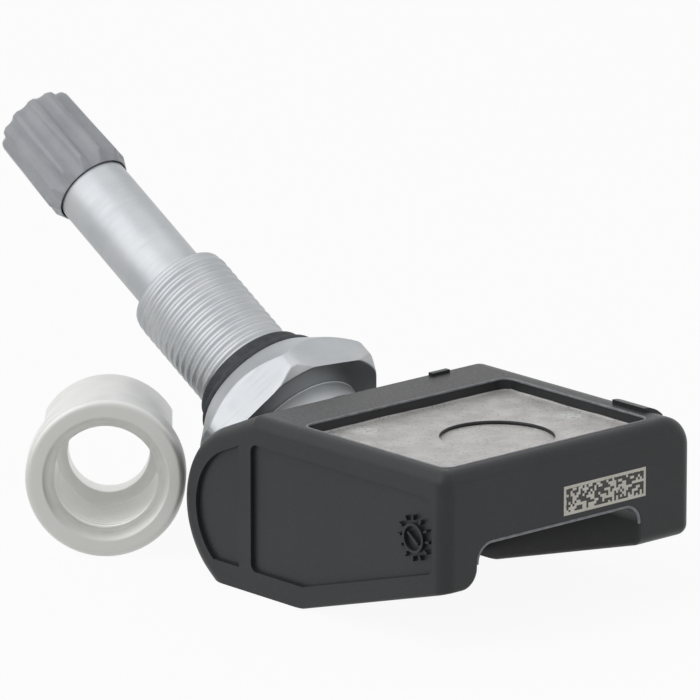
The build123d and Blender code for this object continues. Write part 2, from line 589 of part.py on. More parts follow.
# Valve stem, turned from one bar: hexagon, seal neck, threaded collar, slim stem, foot and spigot
with BuildPart() as valve_stem:
    revolve(turned(
        (0, 0),
        (HEX_CORNER_RADIUS - HEX_UNDER_CHAMFER, 0),
        (HEX_CORNER_RADIUS, HEX_UNDER_CHAMFER),
        (HEX_CORNER_RADIUS, HEX_STRAIGHT),
        (HEX_TOP_RADIUS, HEX_HEIGHT),
        (0, HEX_HEIGHT),
    ), axis=STEM_AXIS)
    with BuildSketch(STEM_PLANE):
        RegularPolygon(HEX_ACROSS_FLATS / 2, 6, major_radius=False, rotation=HEX_TURN)
    extrude(amount=HEX_HEIGHT, mode=Mode.INTERSECT)
    revolve(turned(
        (0, SPIGOT_END),
        (SPIGOT_RADIUS, SPIGOT_END),
        (SPIGOT_RADIUS, -FOOT_LENGTH),
        (FOOT_RADIUS, -FOOT_LENGTH),
        (FOOT_RADIUS, 0),
        (SEAL_NECK_RADIUS, HEX_HEIGHT),
        (SEAL_NECK_RADIUS, SEAL_TOP),
        *thread_grooves(COLLAR_RADIUS, SEAL_TOP, COLLAR_TOP - COLLAR_CHAMFER, -THREAD_DEPTH),
        (COLLAR_RADIUS - COLLAR_CHAMFER, COLLAR_TOP),
        (STEM_RADIUS, COLLAR_TOP),
        (STEM_RADIUS, VALVE_THREAD_START),
        (VALVE_THREAD_RADIUS, VALVE_THREAD_START),
        (VALVE_THREAD_RADIUS, STEM_TOP - COLLAR_CHAMFER),
        (VALVE_THREAD_RADIUS - COLLAR_CHAMFER, STEM_TOP),
        (0, STEM_TOP),
    ), axis=STEM_AXIS)
    revolve(turned(
        (0, STEM_TOP),
        (CORE_THREAD_RADIUS, STEM_TOP),
        (CORE_THREAD_RADIUS, CHAMBER_START),
        (CORE_CHAMBER_RADIUS, CHAMBER_START - CORE_TAPER),
        (CORE_CHAMBER_RADIUS, CHAMBER_END),
        (AIR_BORE_RADIUS, CHAMBER_END - CORE_TAPER),
        (AIR_BORE_RADIUS, -AIR_BORE_BELOW_SEAT),
        (0, -AIR_BORE_BELOW_SEAT),
    ), axis=STEM_AXIS, mode=Mode.SUBTRACT)
    revolve(turned(
        (0, SPIGOT_END),
        (SCREW_RADIUS, SPIGOT_END),
        (SCREW_RADIUS, SPIGOT_END + SCREW_GRIP),
        (0, SPIGOT_END + SCREW_GRIP),
    ), axis=STEM_AXIS, mode=Mode.SUBTRACT)
    with BuildSketch(Plane(STEM_PLANE.offset(-FOOT_LENGTH / 2).origin, x_dir=(0, 1, 0), z_dir=(1, 0, 0))):
        Circle(AIR_HOLE_RADIUS)
    extrude(amount=FOOT_RADIUS, both=True, mode=Mode.SUBTRACT)

# Stepped rubber seal that closes the rim's valve hole
with BuildPart() as stem_seal:
    revolve(turned(
        (SEAL_NECK_RADIUS, HEX_HEIGHT),
        (SEAL_LIP_RADIUS, HEX_HEIGHT),
        (SEAL_LIP_RADIUS, HEX_HEIGHT + SEAL_LIP_HEIGHT),
        (SEAL_RADIUS, HEX_HEIGHT + SEAL_LIP_HEIGHT),
        (SEAL_RADIUS, SEAL_TOP),
        (SEAL_NECK_RADIUS, SEAL_TOP),
    ), axis=STEM_AXIS)

# Fixing screw and washer, driven from the channel under the housing
with BuildPart() as fixing_screw:
    revolve(turned(
        (0, SPIGOT_END + SCREW_GRIP),
        (SCREW_RADIUS, SPIGOT_END + SCREW_GRIP),
        (SCREW_RADIUS, SCREW_HEAD_TOP),
        (SCREW_HEAD_RADIUS, SCREW_HEAD_TOP),
        (SCREW_HEAD_RADIUS, SCREW_HEAD_END),
        (0, SCREW_HEAD_END),
    ), axis=STEM_AXIS)
    with BuildSketch(STEM_PLANE.offset(SCREW_HEAD_END)):
        RegularPolygon(SCREW_DRIVE_RADIUS, 6)
    extrude(amount=SCREW_DRIVE_DEPTH, mode=Mode.SUBTRACT)

with BuildPart() as screw_washer:
    revolve(turned(
        (SCREW_HOLE_RADIUS, SCREW_HEAD_TOP),
        (WASHER_RADIUS, SCREW_HEAD_TOP),
        (WASHER_RADIUS, SCREW_SEAT),
        (SCREW_HOLE_RADIUS, SCREW_SEAT),
    ), axis=STEM_AXIS)

# Valve core: body, sealing ring on the barrel, sprung pin, cup seal and spring
with BuildPart() as core_body:
    revolve(turned(
        (CORE_GUIDE_RADIUS, CORE_TOP),
        (CORE_THREAD_RADIUS - CORE_FIT, CORE_TOP),
        (CORE_THREAD_RADIUS - CORE_FIT, PLUG_END),
        (CORE_BARREL_RADIUS, PLUG_END),
        (CORE_BARREL_RADIUS, BARREL_END),
        (CORE_GUIDE_RADIUS, BARREL_END),
        (CORE_GUIDE_RADIUS, SPRING_POCKET_END),
        (CORE_SPRING_POCKET_RADIUS, SPRING_POCKET_END),
        (CORE_SPRING_POCKET_RADIUS, SPRING_POCKET_TOP),
        (CORE_GUIDE_RADIUS, SPRING_POCKET_TOP),
    ), axis=STEM_AXIS)

with BuildPart() as core_ring:
    ring_top = CHAMBER_START - CORE_TAPER
    revolve(turned(
        (CORE_BARREL_RADIUS, ring_top - CORE_RING_LENGTH),
        (CORE_CHAMBER_RADIUS - CORE_FIT, ring_top - CORE_RING_LENGTH),
        (CORE_CHAMBER_RADIUS - CORE_FIT, ring_top),
        (CORE_BARREL_RADIUS, ring_top),
    ), axis=STEM_AXIS)

with BuildPart() as core_pin:
    revolve(turned(
        (0, PIN_TOP),
        (PIN_RADIUS, PIN_TOP),
        (PIN_RADIUS, PIN_COLLAR_TOP),
        (PIN_COLLAR_RADIUS, PIN_COLLAR_TOP),
        (PIN_COLLAR_RADIUS, PIN_COLLAR_BOTTOM),
        (PIN_RADIUS, PIN_COLLAR_BOTTOM),
        (PIN_RADIUS, CUP_TOP),
        (CUP_RADIUS, CUP_TOP),
        (CUP_RADIUS, CUP_BOTTOM),
        (0, CUP_BOTTOM),
    ), axis=STEM_AXIS)

with BuildPart() as core_cup_seal:
    revolve(turned(
        (PIN_RADIUS, CUP_TOP),
        (CUP_RADIUS, CUP_TOP),
        (CUP_RADIUS, CUP_SEAL_TOP),
        (PIN_RADIUS, CUP_SEAL_TOP),
    ), axis=STEM_AXIS)

with BuildPart() as core_spring:
    spring_height = PIN_COLLAR_BOTTOM - SPRING_POCKET_END - 2 * SPRING_WIRE_RADIUS
    with BuildLine() as coil_path:
        Helix(
            pitch=spring_height / SPRING_TURNS,
            height=spring_height,
            radius=SPRING_RADIUS,
            center=STEM_PLANE.offset(SPRING_POCKET_END + SPRING_WIRE_RADIUS).origin,
            direction=(0, AXIS_Y, AXIS_Z),
        )
    with BuildSketch(Plane(coil_path.line @ 0, z_dir=coil_path.line % 0)):
        RegularPolygon(SPRING_WIRE_RADIUS, 4)
    sweep(path=coil_path.line, is_frenet=True)

# Screwed valve cap with lengthwise flutes, and the rubber washer in its roof
with BuildPart() as valve_cap:
    skirt_radius = STEM_RADIUS + CAP_BORE_CLEARANCE
    bore_radius = VALVE_THREAD_RADIUS + CAP_BORE_CLEARANCE
    revolve(turned(
        (skirt_radius, CAP_RIM),
        (CAP_RIM_RADIUS - CAP_EDGE / 2, CAP_RIM),
        (CAP_RIM_RADIUS, CAP_RIM + CAP_EDGE),
        (CAP_TOP_RADIUS, CAP_TOP - CAP_EDGE),
        (CAP_TOP_RADIUS - CAP_EDGE, CAP_TOP),
        (0, CAP_TOP),
        (0, CAP_BORE_TOP),
        (bore_radius, CAP_BORE_TOP),
        (bore_radius, CAP_RIM + CAP_SKIRT_DEPTH),
        (skirt_radius, CAP_RIM + CAP_SKIRT_DEPTH),
    ), axis=STEM_AXIS)
    with BuildSketch(STEM_PLANE.offset(CAP_RIM)):
        flute_distance = CAP_TOP_RADIUS + CAP_FLUTE_RADIUS - CAP_FLUTE_DEPTH
        with PolarLocations(flute_distance, CAP_FLUTES, start_angle=CAP_TURN):
            Circle(CAP_FLUTE_RADIUS)
    extrude(amount=CAP_LENGTH, mode=Mode.SUBTRACT)

with BuildPart() as cap_seal:
    revolve(turned(
        (0, CAP_SEAL_BOTTOM),
        (VALVE_THREAD_RADIUS, CAP_SEAL_BOTTOM),
        (VALVE_THREAD_RADIUS, CAP_BORE_TOP),
        (0, CAP_BORE_TOP),
    ), axis=STEM_AXIS)

# Collar nut with two spanner flats, lying on its flange's rim and on its body's far end
NUT_TILT = atan2(NUT_FLANGE_RADIUS - NUT_BODY_RADIUS, NUT_LENGTH - NUT_FLANGE_HEIGHT)
NUT_Z = NUT_FLANGE_RADIUS * cos(NUT_TILT) + NUT_FLANGE_HEIGHT * sin(NUT_TILT)
NUT_SIDE = (cos(radians(NUT_HEADING)), -sin(radians(NUT_HEADING)), 0)
NUT_AXIS = (
    sin(radians(NUT_HEADING)) * cos(NUT_TILT),
    cos(radians(NUT_HEADING)) * cos(NUT_TILT),
    -sin(NUT_TILT),
)
NUT_PLANE = Plane((NUT_X, NUT_Y, NUT_Z), x_dir=NUT_SIDE, z_dir=NUT_AXIS)
NUT_LINE = Axis((NUT_X, NUT_Y, NUT_Z), NUT_AXIS)
NUT_BORE_RADIUS = COLLAR_RADIUS + NUT_THREAD_CLEARANCE
NUT_EXIT_RADIUS = STEM_RADIUS + NUT_EXIT_CLEARANCE


def nut_section(*points):
    """Half section about the nut's axis, from (radius, depth from the flange's face) points."""
    with BuildSketch(Plane(NUT_PLANE.origin, x_dir=NUT_SIDE, z_dir=NUT_PLANE.y_dir * -1)) as section:
        with BuildLine():
            Polyline(*points, close=True)
        make_face()
    return section.sketch


with BuildPart() as collar_nut:
    revolve(nut_section(
        (0, 0),
        (NUT_FLANGE_RADIUS - NUT_RIM_CHAMFER, 0),
        (NUT_FLANGE_RADIUS, NUT_RIM_CHAMFER),
        (NUT_FLANGE_RADIUS, NUT_FLANGE_HEIGHT - NUT_BACK_CHAMFER),
        (NUT_FLANGE_RADIUS - NUT_BACK_CHAMFER, NUT_FLANGE_HEIGHT),
        (NUT_BODY_RADIUS, NUT_FLANGE_HEIGHT),
        (NUT_BODY_RADIUS, NUT_LENGTH - NUT_BACK_CHAMFER),
        (NUT_BODY_RADIUS - NUT_BACK_CHAMFER, NUT_LENGTH),
        (0, NUT_LENGTH),
    ), axis=NUT_LINE)
    with BuildSketch(NUT_PLANE.offset(NUT_LENGTH)):
        with GridLocations(NUT_ACROSS_FLATS + NUT_BODY_RADIUS, 0, 2, 1):
            Rectangle(NUT_BODY_RADIUS, 2 * NUT_BODY_RADIUS)
    extrude(amount=-NUT_FLATS_LENGTH, mode=Mode.SUBTRACT)
    revolve(nut_section(
        (0, 0),
        (NUT_BORE_RADIUS + NUT_MOUTH_CHAMFER, 0),
        *thread_grooves(NUT_BORE_RADIUS, NUT_MOUTH_CHAMFER, NUT_THREAD_DEPTH, THREAD_DEPTH),
        (NUT_EXIT_RADIUS, NUT_THREAD_DEPTH + NUT_DRILL_CONE),
        (NUT_EXIT_RADIUS, NUT_LENGTH),
        (0, NUT_LENGTH),
    ), axis=NUT_LINE, mode=Mode.SUBTRACT)

PIECES = {
    "housing": housing,
    "resin_fill": resin_fill,
    "circuit_board": circuit_board,
    "sensor_chip": sensor_chip,
    "port_gasket": port_gasket,
    "port_filter": port_filter,
    "battery_cell": battery_cell,
    "battery_tab_minus": battery_tab_minus,
    "battery_tab_plus": battery_tab_plus,
    "wake_coil": wake_coil,
    "crystal": crystal,
    "capacitors": capacitors,
    "antenna": antenna,
    "valve_stem": valve_stem,
    "stem_seal": stem_seal,
    "fixing_screw": fixing_screw,
    "screw_washer": screw_washer,
    "core_body": core_body,
    "core_ring": core_ring,
    "core_pin": core_pin,
    "core_cup_seal": core_cup_seal,
    "core_spring": core_spring,
    "valve_cap": valve_cap,
    "cap_seal": cap_seal,
    "collar_nut": collar_nut,
}
for name, piece in PIECES.items():
    piece.part.label = name
    export_step(piece.part, f"parts/{name}.step")
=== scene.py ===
"""Tyre pressure sensor with its screw-in valve and collar nut: dressed surfaces, finishes and stage."""
import json
import math

import bmesh
import bpy
import numpy as np
from mathutils import Euler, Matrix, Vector


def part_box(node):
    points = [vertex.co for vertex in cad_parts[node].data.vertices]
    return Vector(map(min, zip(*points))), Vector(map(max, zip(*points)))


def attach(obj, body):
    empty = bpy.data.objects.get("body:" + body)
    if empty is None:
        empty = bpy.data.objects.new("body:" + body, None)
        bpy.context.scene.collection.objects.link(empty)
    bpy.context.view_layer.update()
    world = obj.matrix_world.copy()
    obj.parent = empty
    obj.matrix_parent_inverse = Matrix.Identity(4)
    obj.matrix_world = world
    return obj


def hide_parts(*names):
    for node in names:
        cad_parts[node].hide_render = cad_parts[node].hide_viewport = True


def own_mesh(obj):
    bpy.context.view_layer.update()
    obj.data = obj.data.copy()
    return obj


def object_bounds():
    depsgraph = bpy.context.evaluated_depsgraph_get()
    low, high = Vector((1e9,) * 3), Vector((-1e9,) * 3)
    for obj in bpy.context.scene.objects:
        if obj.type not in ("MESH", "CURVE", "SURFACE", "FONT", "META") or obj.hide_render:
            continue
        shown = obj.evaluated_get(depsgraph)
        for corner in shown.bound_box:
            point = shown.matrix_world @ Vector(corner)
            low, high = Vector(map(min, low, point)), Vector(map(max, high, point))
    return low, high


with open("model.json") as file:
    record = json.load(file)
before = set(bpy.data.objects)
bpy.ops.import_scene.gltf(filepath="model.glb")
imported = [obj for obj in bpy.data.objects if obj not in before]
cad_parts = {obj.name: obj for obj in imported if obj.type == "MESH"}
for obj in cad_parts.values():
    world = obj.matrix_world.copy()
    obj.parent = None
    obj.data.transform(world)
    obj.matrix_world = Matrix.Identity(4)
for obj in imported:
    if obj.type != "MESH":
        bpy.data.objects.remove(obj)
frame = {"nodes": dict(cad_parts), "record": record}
cad_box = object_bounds()

bl_info = {
    "name": "Tyre Pressure Sensor",
    "version": (1, 0, 0),
    "blender": (4, 5, 0),
    "location": "View3D > Sidebar > Sensor",
    "description": "Valve, nut, cap, potting and finishes of a tyre pressure sensor, on its fixed frame",
    "category": "Object",
}

MM = 0.001
FULL_TURN = 2 * math.pi


# Places read from the frame

def mount(name):
    """Place, direction, radius and length of the record's mounting feature of that name, in metres."""
    row = next(row for row in frame["record"]["mounts"] if row["name"] == name)
    axis = np.array(row["axis"])
    radius, depth = (row["dims"][key] * MM for key in ("r_mm", "length_mm"))
    return np.array(row["pos_m"]), axis / np.linalg.norm(axis), radius, depth


def node_points(node):
    """Every corner of a solid's mesh, one row of three metres each."""
    mesh = frame["nodes"][node].data
    points = np.empty(len(mesh.vertices) * 3)
    mesh.vertices.foreach_get("co", points)
    return points.reshape(-1, 3)


def reach(node):
    """Lowest and highest place along the valve, and the largest radius around it, of a solid."""
    points = node_points(node) - SEAT
    along = points @ VALVE_AXIS
    radius = np.linalg.norm(points - np.outer(along, VALVE_AXIS), axis=1)
    return along.min(), along.max(), radius.max()


# The valve's line starts at the hexagon's underside, and the collar's mount lies further up it
SEAT_TO_COLLAR_MIDDLE = 14.95 * MM
COLLAR_MIDDLE, VALVE_AXIS, COLLAR_RADIUS, COLLAR_LENGTH = mount("valve_collar")
VALVE_SIDE = np.array((1.0, 0.0, 0.0))
SEAT = COLLAR_MIDDLE - SEAT_TO_COLLAR_MIDDLE * VALVE_AXIS

# The nut's line starts at its front face and runs inwards; its mount is the middle of the thread
NUT_MOUTH = 0.8 * MM
NUT_MIDDLE, NUT_OUTWARDS, NUT_BORE, NUT_THREAD_LENGTH = mount("nut_thread")
NUT_AXIS = -NUT_OUTWARDS
NUT_SIDE = np.cross(NUT_AXIS, (0.0, 0.0, 1.0))
NUT_SIDE = NUT_SIDE / np.linalg.norm(NUT_SIDE)
NUT_FRONT = NUT_MIDDLE - (NUT_THREAD_LENGTH / 2 + NUT_MOUTH) * NUT_AXIS

SPIGOT_END, STEM_TOP, HEX_CORNER = reach("valve_stem")
SEAL_LOW, SEAL_TOP, SEAL_LIP = reach("stem_seal")
CAP_RIM, CAP_TOP, CAP_RADIUS = reach("valve_cap")
SPRING_LOW, SPRING_TOP, SPRING_RADIUS = reach("core_spring")
HOUSING_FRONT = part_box("housing")[0][1]
RESIN_LOW, RESIN_HIGH = (np.array(corner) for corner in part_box("resin_fill"))

# Pale spots on the resin: place and width, in metres. The one by the right wall is partly a pale smear and
# partly a painted highlight, the one near the back wall is pale specks, and the one at the dimple's edge is a
# painted highlight
PALE_SPOTS_AND_HIGHLIGHTS = (
    ((10.7 * MM, -17.0 * MM, RESIN_HIGH[2]), 2.0 * MM),
    ((-8.7 * MM, -7.2 * MM, RESIN_HIGH[2]), 2.2 * MM),
    ((5.5 * MM, -17.3 * MM, RESIN_HIGH[2]), 0.9 * MM))

# Turns of the hexagon's first corner and of the cap's first flute round the valve's line
FIRST_CORNER = math.radians(5.0)
FIRST_FLUTE = math.radians(12.7)

# A wave pattern of scale 1 goes through this many radians in a metre
WAVE_RADIANS = 20

# Camera: lens in millimetres, place in metres, tilt downwards and heading
CAMERA_LENS = 462.86
CAMERA_PLACE = (-0.58649, -0.64996, 0.25754)
CAMERA_DOWN = math.radians(15.04)
CAMERA_HEADING = math.radians(-41.867)

# Floor's half width in metres, share of its white that no shadow takes away, and strength of the room's light
FLOOR_HALF = 6.0
FLOOR_WHITE = 0.93
ROOM_LIGHT = 0.3

# Softboxes: name, place from the sensor's middle and width in metres, and power in watts
SOFTBOXES = (
    ("key_softbox", (-0.95, 0.3, 0.8), 1.4, 7.0),
    ("top_softbox", (0.05, 0.15, 1.0), 1.1, 1.8),
    ("front_softbox", (0.35, -1.0, 0.5), 0.8, 0.7))


# Settings

def linear(code):
    """An sRGB hex colour as linear red, green, blue."""
    parts = np.array([int(code[place:place + 2], 16) for place in (1, 3, 5)]) / 255
    curve = np.where(parts <= 0.04045, parts / 12.92, ((parts + 0.055) / 1.055) ** 2.4)
    return tuple(float(part) for part in curve)


def length(name, description, millimetres):
    """A length that a user may change, kept in metres."""
    return bpy.props.FloatProperty(name=name, description=description, default=millimetres * MM, min=0.0,
                                   unit="LENGTH", precision=5)


def colour(name, description, code):
    """A surface colour that a user may change."""
    return bpy.props.FloatVectorProperty(name=name, description=description, default=linear(code),
                                         subtype="COLOR", size=3, min=0.0, max=1.0)


class SensorSizes(bpy.types.PropertyGroup):
    """Sizes of the turned, fluted and threaded pieces."""

    foot_radius: length("Foot radius", "Round foot under the hexagon", 7.0)
    foot_length: length("Foot length", "Round foot under the hexagon", 2.6)
    spigot_radius: length("Spigot radius", "End of the valve inside the housing", 5.0)
    screw_hole: length("Screw hole radius", "Hole of the fixing screw", 1.25)
    screw_depth: length("Screw hole depth", "Hole of the fixing screw", 5.0)
    air_bore: length("Air bore radius", "Bore along the valve", 1.5)
    air_hole: length("Air hole radius", "Hole across the foot", 0.7)
    air_hole_drop: length("Air hole place", "Air hole below the hexagon", 1.3)
    hex_flats: length("Hexagon", "Across the flats of the valve's hexagon", 19.2)
    hex_straight: length("Hexagon straight", "Height where the flats' corners start to be turned off", 2.6)
    hex_height: length("Hexagon height", "Whole height of the hexagon", 6.4)
    hex_top: length("Hexagon top radius", "Top of the hexagon's turned cone", 7.3)
    hex_under: length("Hexagon chamfer", "Chamfer under the hexagon", 0.8)
    neck_radius: length("Neck radius", "Neck that carries the rubber seal", 5.0)
    seal_lip: length("Seal lip", "Height of the seal's wide lip", 0.7)
    seal_ring: length("Seal ring radius", "Radius of the seal above its lip", 6.3)
    collar_pitch: length("Collar thread pitch", "Pitch of the collar's thread", 1.0)
    collar_depth: length("Collar thread depth", "Depth of the collar's thread", 0.17)
    nut_depth: length("Nut thread depth", "Depth of the nut's thread, inwards from its bore", 0.3)
    collar_chamfer: length("Collar chamfer", "Chamfer at the collar's end", 0.5)
    stem_radius: length("Stem radius", "Slim plain stem", 3.9)
    valve_thread: length("Valve thread radius", "Crests of the thread that the cap screws on", 3.78)
    valve_thread_length: length("Valve thread length", "Thread that the cap screws on", 8.2)
    valve_pitch: length("Valve thread pitch", "Pitch of the thread that the cap screws on", 0.794)
    valve_depth: length("Valve thread depth", "Depth of the thread that the cap screws on", 0.36)
    core_bore: length("Core bore radius", "Threaded mouth that holds the valve core", 2.65)
    core_bore_length: length("Core bore length", "Threaded mouth that holds the valve core", 5.0)
    core_chamber: length("Core chamber radius", "Chamber around the valve core", 2.1)
    core_chamber_length: length("Core chamber length", "Chamber and its tapers", 16.0)
    core_taper: length("Core taper", "Length of the seat's taper", 1.0)
    cap_top_radius: length("Cap top radius", "Radius of the cap at its closed end", 4.45)
    cap_edge: length("Cap edge", "Rounding of the cap's closed end", 0.7)
    cap_bevel: length("Cap bevel", "Height of the bevel round the cap's open end", 1.35)
    cap_bevel_depth: length("Cap bevel depth", "Depth of the bevel round the cap's open end", 0.6)
    cap_roof: length("Cap roof", "Thickness of the cap's closed end", 1.2)
    cap_skirt: length("Cap skirt", "Depth of the plain mouth inside the cap", 1.6)
    cap_skirt_radius: length("Cap skirt radius", "Plain mouth inside the cap", 4.05)
    cap_bore: length("Cap bore radius", "Bore of the cap", 3.8)
    flute_radius: length("Flute radius", "Round of each flute on the cap", 1.3)
    flute_distance: length("Flute distance", "Middle of each flute from the cap's line", 5.4)
    flutes: bpy.props.IntProperty(name="Flutes", description="Flutes round the cap", default=12, min=3)
    nut_flange: length("Nut flange radius", "Round flange of the nut", 8.15)
    nut_flange_height: length("Nut flange height", "Round flange of the nut", 4.0)
    nut_body: length("Nut body radius", "Round body of the nut", 7.5)
    nut_flats: length("Nut flats", "Across the two spanner flats of the nut", 13.0)
    nut_flats_length: length("Nut flats length", "Length of the spanner flats from the nut's end", 8.0)
    nut_length: length("Nut length", "Whole length of the nut", 16.2)
    nut_rim: length("Nut rim chamfer", "Rounding of the flange's front edge", 0.7)
    nut_back: length("Nut back chamfer", "Chamfer behind the flange and at the nut's end", 0.3)
    nut_cone: length("Nut cone", "Cone at the bottom of the nut's thread", 0.8)
    nut_exit: length("Nut exit radius", "Hole for the slim stem", 4.2)
    spring_wire: length("Spring wire radius", "Wire of the core's spring", 0.14)
    spring_turns: bpy.props.IntProperty(name="Spring turns", description="Turns of the core's spring",
                                        default=5, min=1)
    tray_corner: length("Tray corner radius", "Corners of the potting tray", 1.2)
    meniscus: length("Meniscus", "Width of the resin's creep up the tray's walls", 0.34)
    rim_top: length("Rim height", "Flat top of the tray's rim above the floor", 18.3)
    rim_bead: length("Tray edge bead", "Fine bead on the edge of the tray's opening", 0.12)
    dimple_radius: length("Dimple radius", "Round dimple in the resin", 5.8)
    dimple_depth: length("Dimple depth", "Round dimple in the resin", 0.4)
    dimple_offset: length("Dimple offset", "Dimple's middle right of the tray's middle", 1.3)
    dimple_forward: length("Dimple forward", "Dimple's middle in front of the tray's middle", 1.65)
    patch_width: length("Patch width", "Marked field on the front wall", 11.15)
    patch_height: length("Patch height", "Marked field on the front wall", 3.0)
    patch_low: length("Patch place", "Lower edge of the marked field above the floor", 11.1)
    patch_middle: length("Patch middle", "Middle of the marked field right of the valve's plane", 4.7)
    patch_margin: length("Patch margin", "Plain margin round the marked cells", 0.3)
    channel_left: length("Channel left", "Left wall of the channel from the valve's plane", 12.3)
    channel_right: length("Channel right", "Right wall of the channel from the valve's plane", 9.4)
    channel_roof: length("Channel roof", "Height of the channel's roof", 10.3)
    channel_round: length("Channel rounding", "Rounding between the channel's walls and roof", 1.8)
    flash_low: length("Flash start", "Height at which the moulding flash starts", 8.3)
    flash_radius: length("Flash radius", "Bead of moulding flash round the channel's front edge", 0.15)
    edge_break: length("Edge break", "Broken edge of turned metal", 0.07)


class SensorColours(bpy.types.PropertyGroup):
    """Colours of the finishes."""

    housing: colour("Housing", "Moulded housing", "#2b2c2e")
    housing_fleck: colour("Housing flecks", "Glass fibres at the housing's skin", "#47484c")
    resin: colour("Resin", "Potting resin", "#c1bfbc")
    resin_cloud: colour("Resin clouds", "Paler clouds in the resin", "#d8d6d2")
    resin_speck: colour("Resin specks", "Filler specks in the resin", "#868485")
    # partly real pale splashes, partly painted highlights on the resin
    resin_splash_and_highlight: colour("Resin splashes and highlights", "Pale splashes and painted highlights on the resin", "#f0f2ef")
    valve: colour("Valve aluminium", "Turned valve", "#b6b8ba")
    valve_cloud: colour("Valve clouds", "Duller clouds of the valve's oxide", "#acafb2")
    nut: colour("Nut aluminium", "Turned and blasted nut", "#f0f0ee")
    nut_cloud: colour("Nut clouds", "Duller clouds of the nut's oxide", "#e6e6e4")
    # painted shade: a darker colour for the nut's front face
    nut_front_painted_shade: colour("Nut front", "Painted shade on the nut's front face", "#c9c9c6")
    # painted light: a brighter colour for the thread deep in the nut's bore
    nut_thread: colour("Nut thread", "Painted light in the nut's thread", "#fbfbf9")
    cap: colour("Cap", "Moulded cap", "#a0a2a8")
    cap_cloud: colour("Cap clouds", "Flow marks of the cap", "#aaacb1")
    rubber: colour("Rubber", "Seals", "#26282d")
    rubber_bloom: colour("Rubber bloom", "Dry bloom on the seals", "#3c3e44")


class SensorSettings(bpy.types.PropertyGroup):
    """Everything a user may change on the sensor."""

    sizes: bpy.props.PointerProperty(name="Sizes", description="Sizes of the pieces", type=SensorSizes)
    colours: bpy.props.PointerProperty(name="Colours", description="Colours of the finishes",
                                       type=SensorColours)


# Surfaces

def rows_of(columns, *corners):
    """Profile grid: one row for each corner (place along, radius), a number or one value for each column."""
    blank = np.zeros(columns)
    return np.stack([np.stack((along + blank, radius + blank), axis=-1) for along, radius in corners])


def softened(profile, width):
    """Each inner corner of a profile becomes four points, at one and two widths to both sides of it."""
    corner = profile[1:-1]
    pieces = []
    for neighbour, steps in ((profile[:-2], (2, 1)), (profile[2:], (1, 2))):
        leg = neighbour - corner
        size = np.linalg.norm(leg, axis=-1, keepdims=True)
        step = np.minimum(width, size / 5)
        pieces.extend(corner + leg / np.maximum(size, 1e-9) * step * count for count in steps)
    between = np.stack(pieces, axis=1).reshape(-1, *profile.shape[1:])
    return np.concatenate((profile[:1], between, profile[-1:]))


def turned_points(origin, axis, side, profile, angles):
    """Point = origin + along * axis + radius * (side * cos angle + third * sin angle)."""
    third = np.cross(axis, side)
    spokes = np.cos(angles)[:, None] * side + np.sin(angles)[:, None] * third
    return origin + profile[..., :1] * axis + profile[..., 1:] * spokes


def even_angles(columns, start=0.0):
    """Equal steps once round."""
    return start + np.arange(columns) * FULL_TURN / columns


def hexagon_angles(start):
    """Angles round a hexagon with its first corner at start, close together beside each corner,
    and each angle's distance from the middle of its flat."""
    half = FULL_TURN / 12
    close = math.radians(0.35)
    middle = np.linspace(-half + 5 * close, half - 5 * close, 17)
    across = np.concatenate(((-half + close, -half + 2 * close), middle, (half - 2 * close, half - close)))
    angles = start + half + np.arange(6)[:, None] * 2 * half + across
    return angles.ravel(), np.tile(across, 6)


def thread_rows(low, high, pitch, core, depth, angles):
    """Helical thread: radius = core + depth * ridge, where ridge is a flattened cosine of
    place / pitch - angle / full turn and fades out at both ends."""
    steps = int((high - low) / pitch * 14)
    along = np.linspace(low, high, steps)[:, None] + np.zeros(len(angles))
    wave = np.cos(FULL_TURN * (along / pitch - angles / FULL_TURN))
    ridge = 0.5 + 0.5 * np.tanh(wave) / math.tanh(1)
    fade = np.clip(np.minimum(along - low, high - along) / (0.7 * pitch), 0, 1)
    return np.stack((along, core + depth * ridge * fade), axis=-1)


def skin(name, points, rows_closed=False):
    """Mesh object over a grid of points that closes round its columns: quads between neighbours,
    turned outwards by the sign of the enclosed volume, with the points of each pole merged."""
    rows, columns = points.shape[:2]
    index = np.arange(rows * columns).reshape(rows, columns)
    index = np.concatenate((index, index[:, :1]), axis=1)
    if rows_closed:
        index = np.concatenate((index, index[:1]), axis=0)
    quads = np.stack((index[:-1, :-1], index[:-1, 1:], index[1:, 1:], index[1:, :-1]), axis=-1).reshape(-1, 4)
    flat = points.reshape(-1, 3)
    one, two, three, four = (flat[quads[:, corner]] - flat.mean(axis=0) for corner in range(4))
    volume = np.sum(one * np.cross(two, three)) + np.sum(one * np.cross(three, four))
    if volume < 0:
        quads = quads[:, ::-1]
    mesh = bpy.data.meshes.new(name)
    mesh.from_pydata(flat.tolist(), [], quads.tolist())
    merged = bmesh.new()
    merged.from_mesh(mesh)
    bmesh.ops.remove_doubles(merged, verts=merged.verts, dist=1e-7)
    merged.to_mesh(mesh)
    merged.free()
    mesh.polygons.foreach_set("use_smooth", np.ones(len(mesh.polygons), dtype=bool))
    mesh.update()
    piece = bpy.data.objects.new(name, mesh)
    bpy.context.scene.collection.objects.link(piece)
    return piece


def valve_skin(name, profile, angles, rows_closed=False):
    """Mesh object turned round the valve's line."""
    return skin(name, turned_points(SEAT, VALVE_AXIS, VALVE_SIDE, profile, angles), rows_closed)


def wire(name, middle, out, forward, radius, columns):
    """Round wire along a row of points: middle + radius * (out * cos + forward * sin), drawn to a point
    at both ends."""
    section = even_angles(columns)
    thick = np.full(len(middle), radius)
    thick[[0, -1]] = 0
    ring = np.cos(section)[None, :, None] * out[:, None, :] + np.sin(section)[None, :, None] * forward
    return skin(name, middle[:, None, :] + thick[:, None, None] * ring)


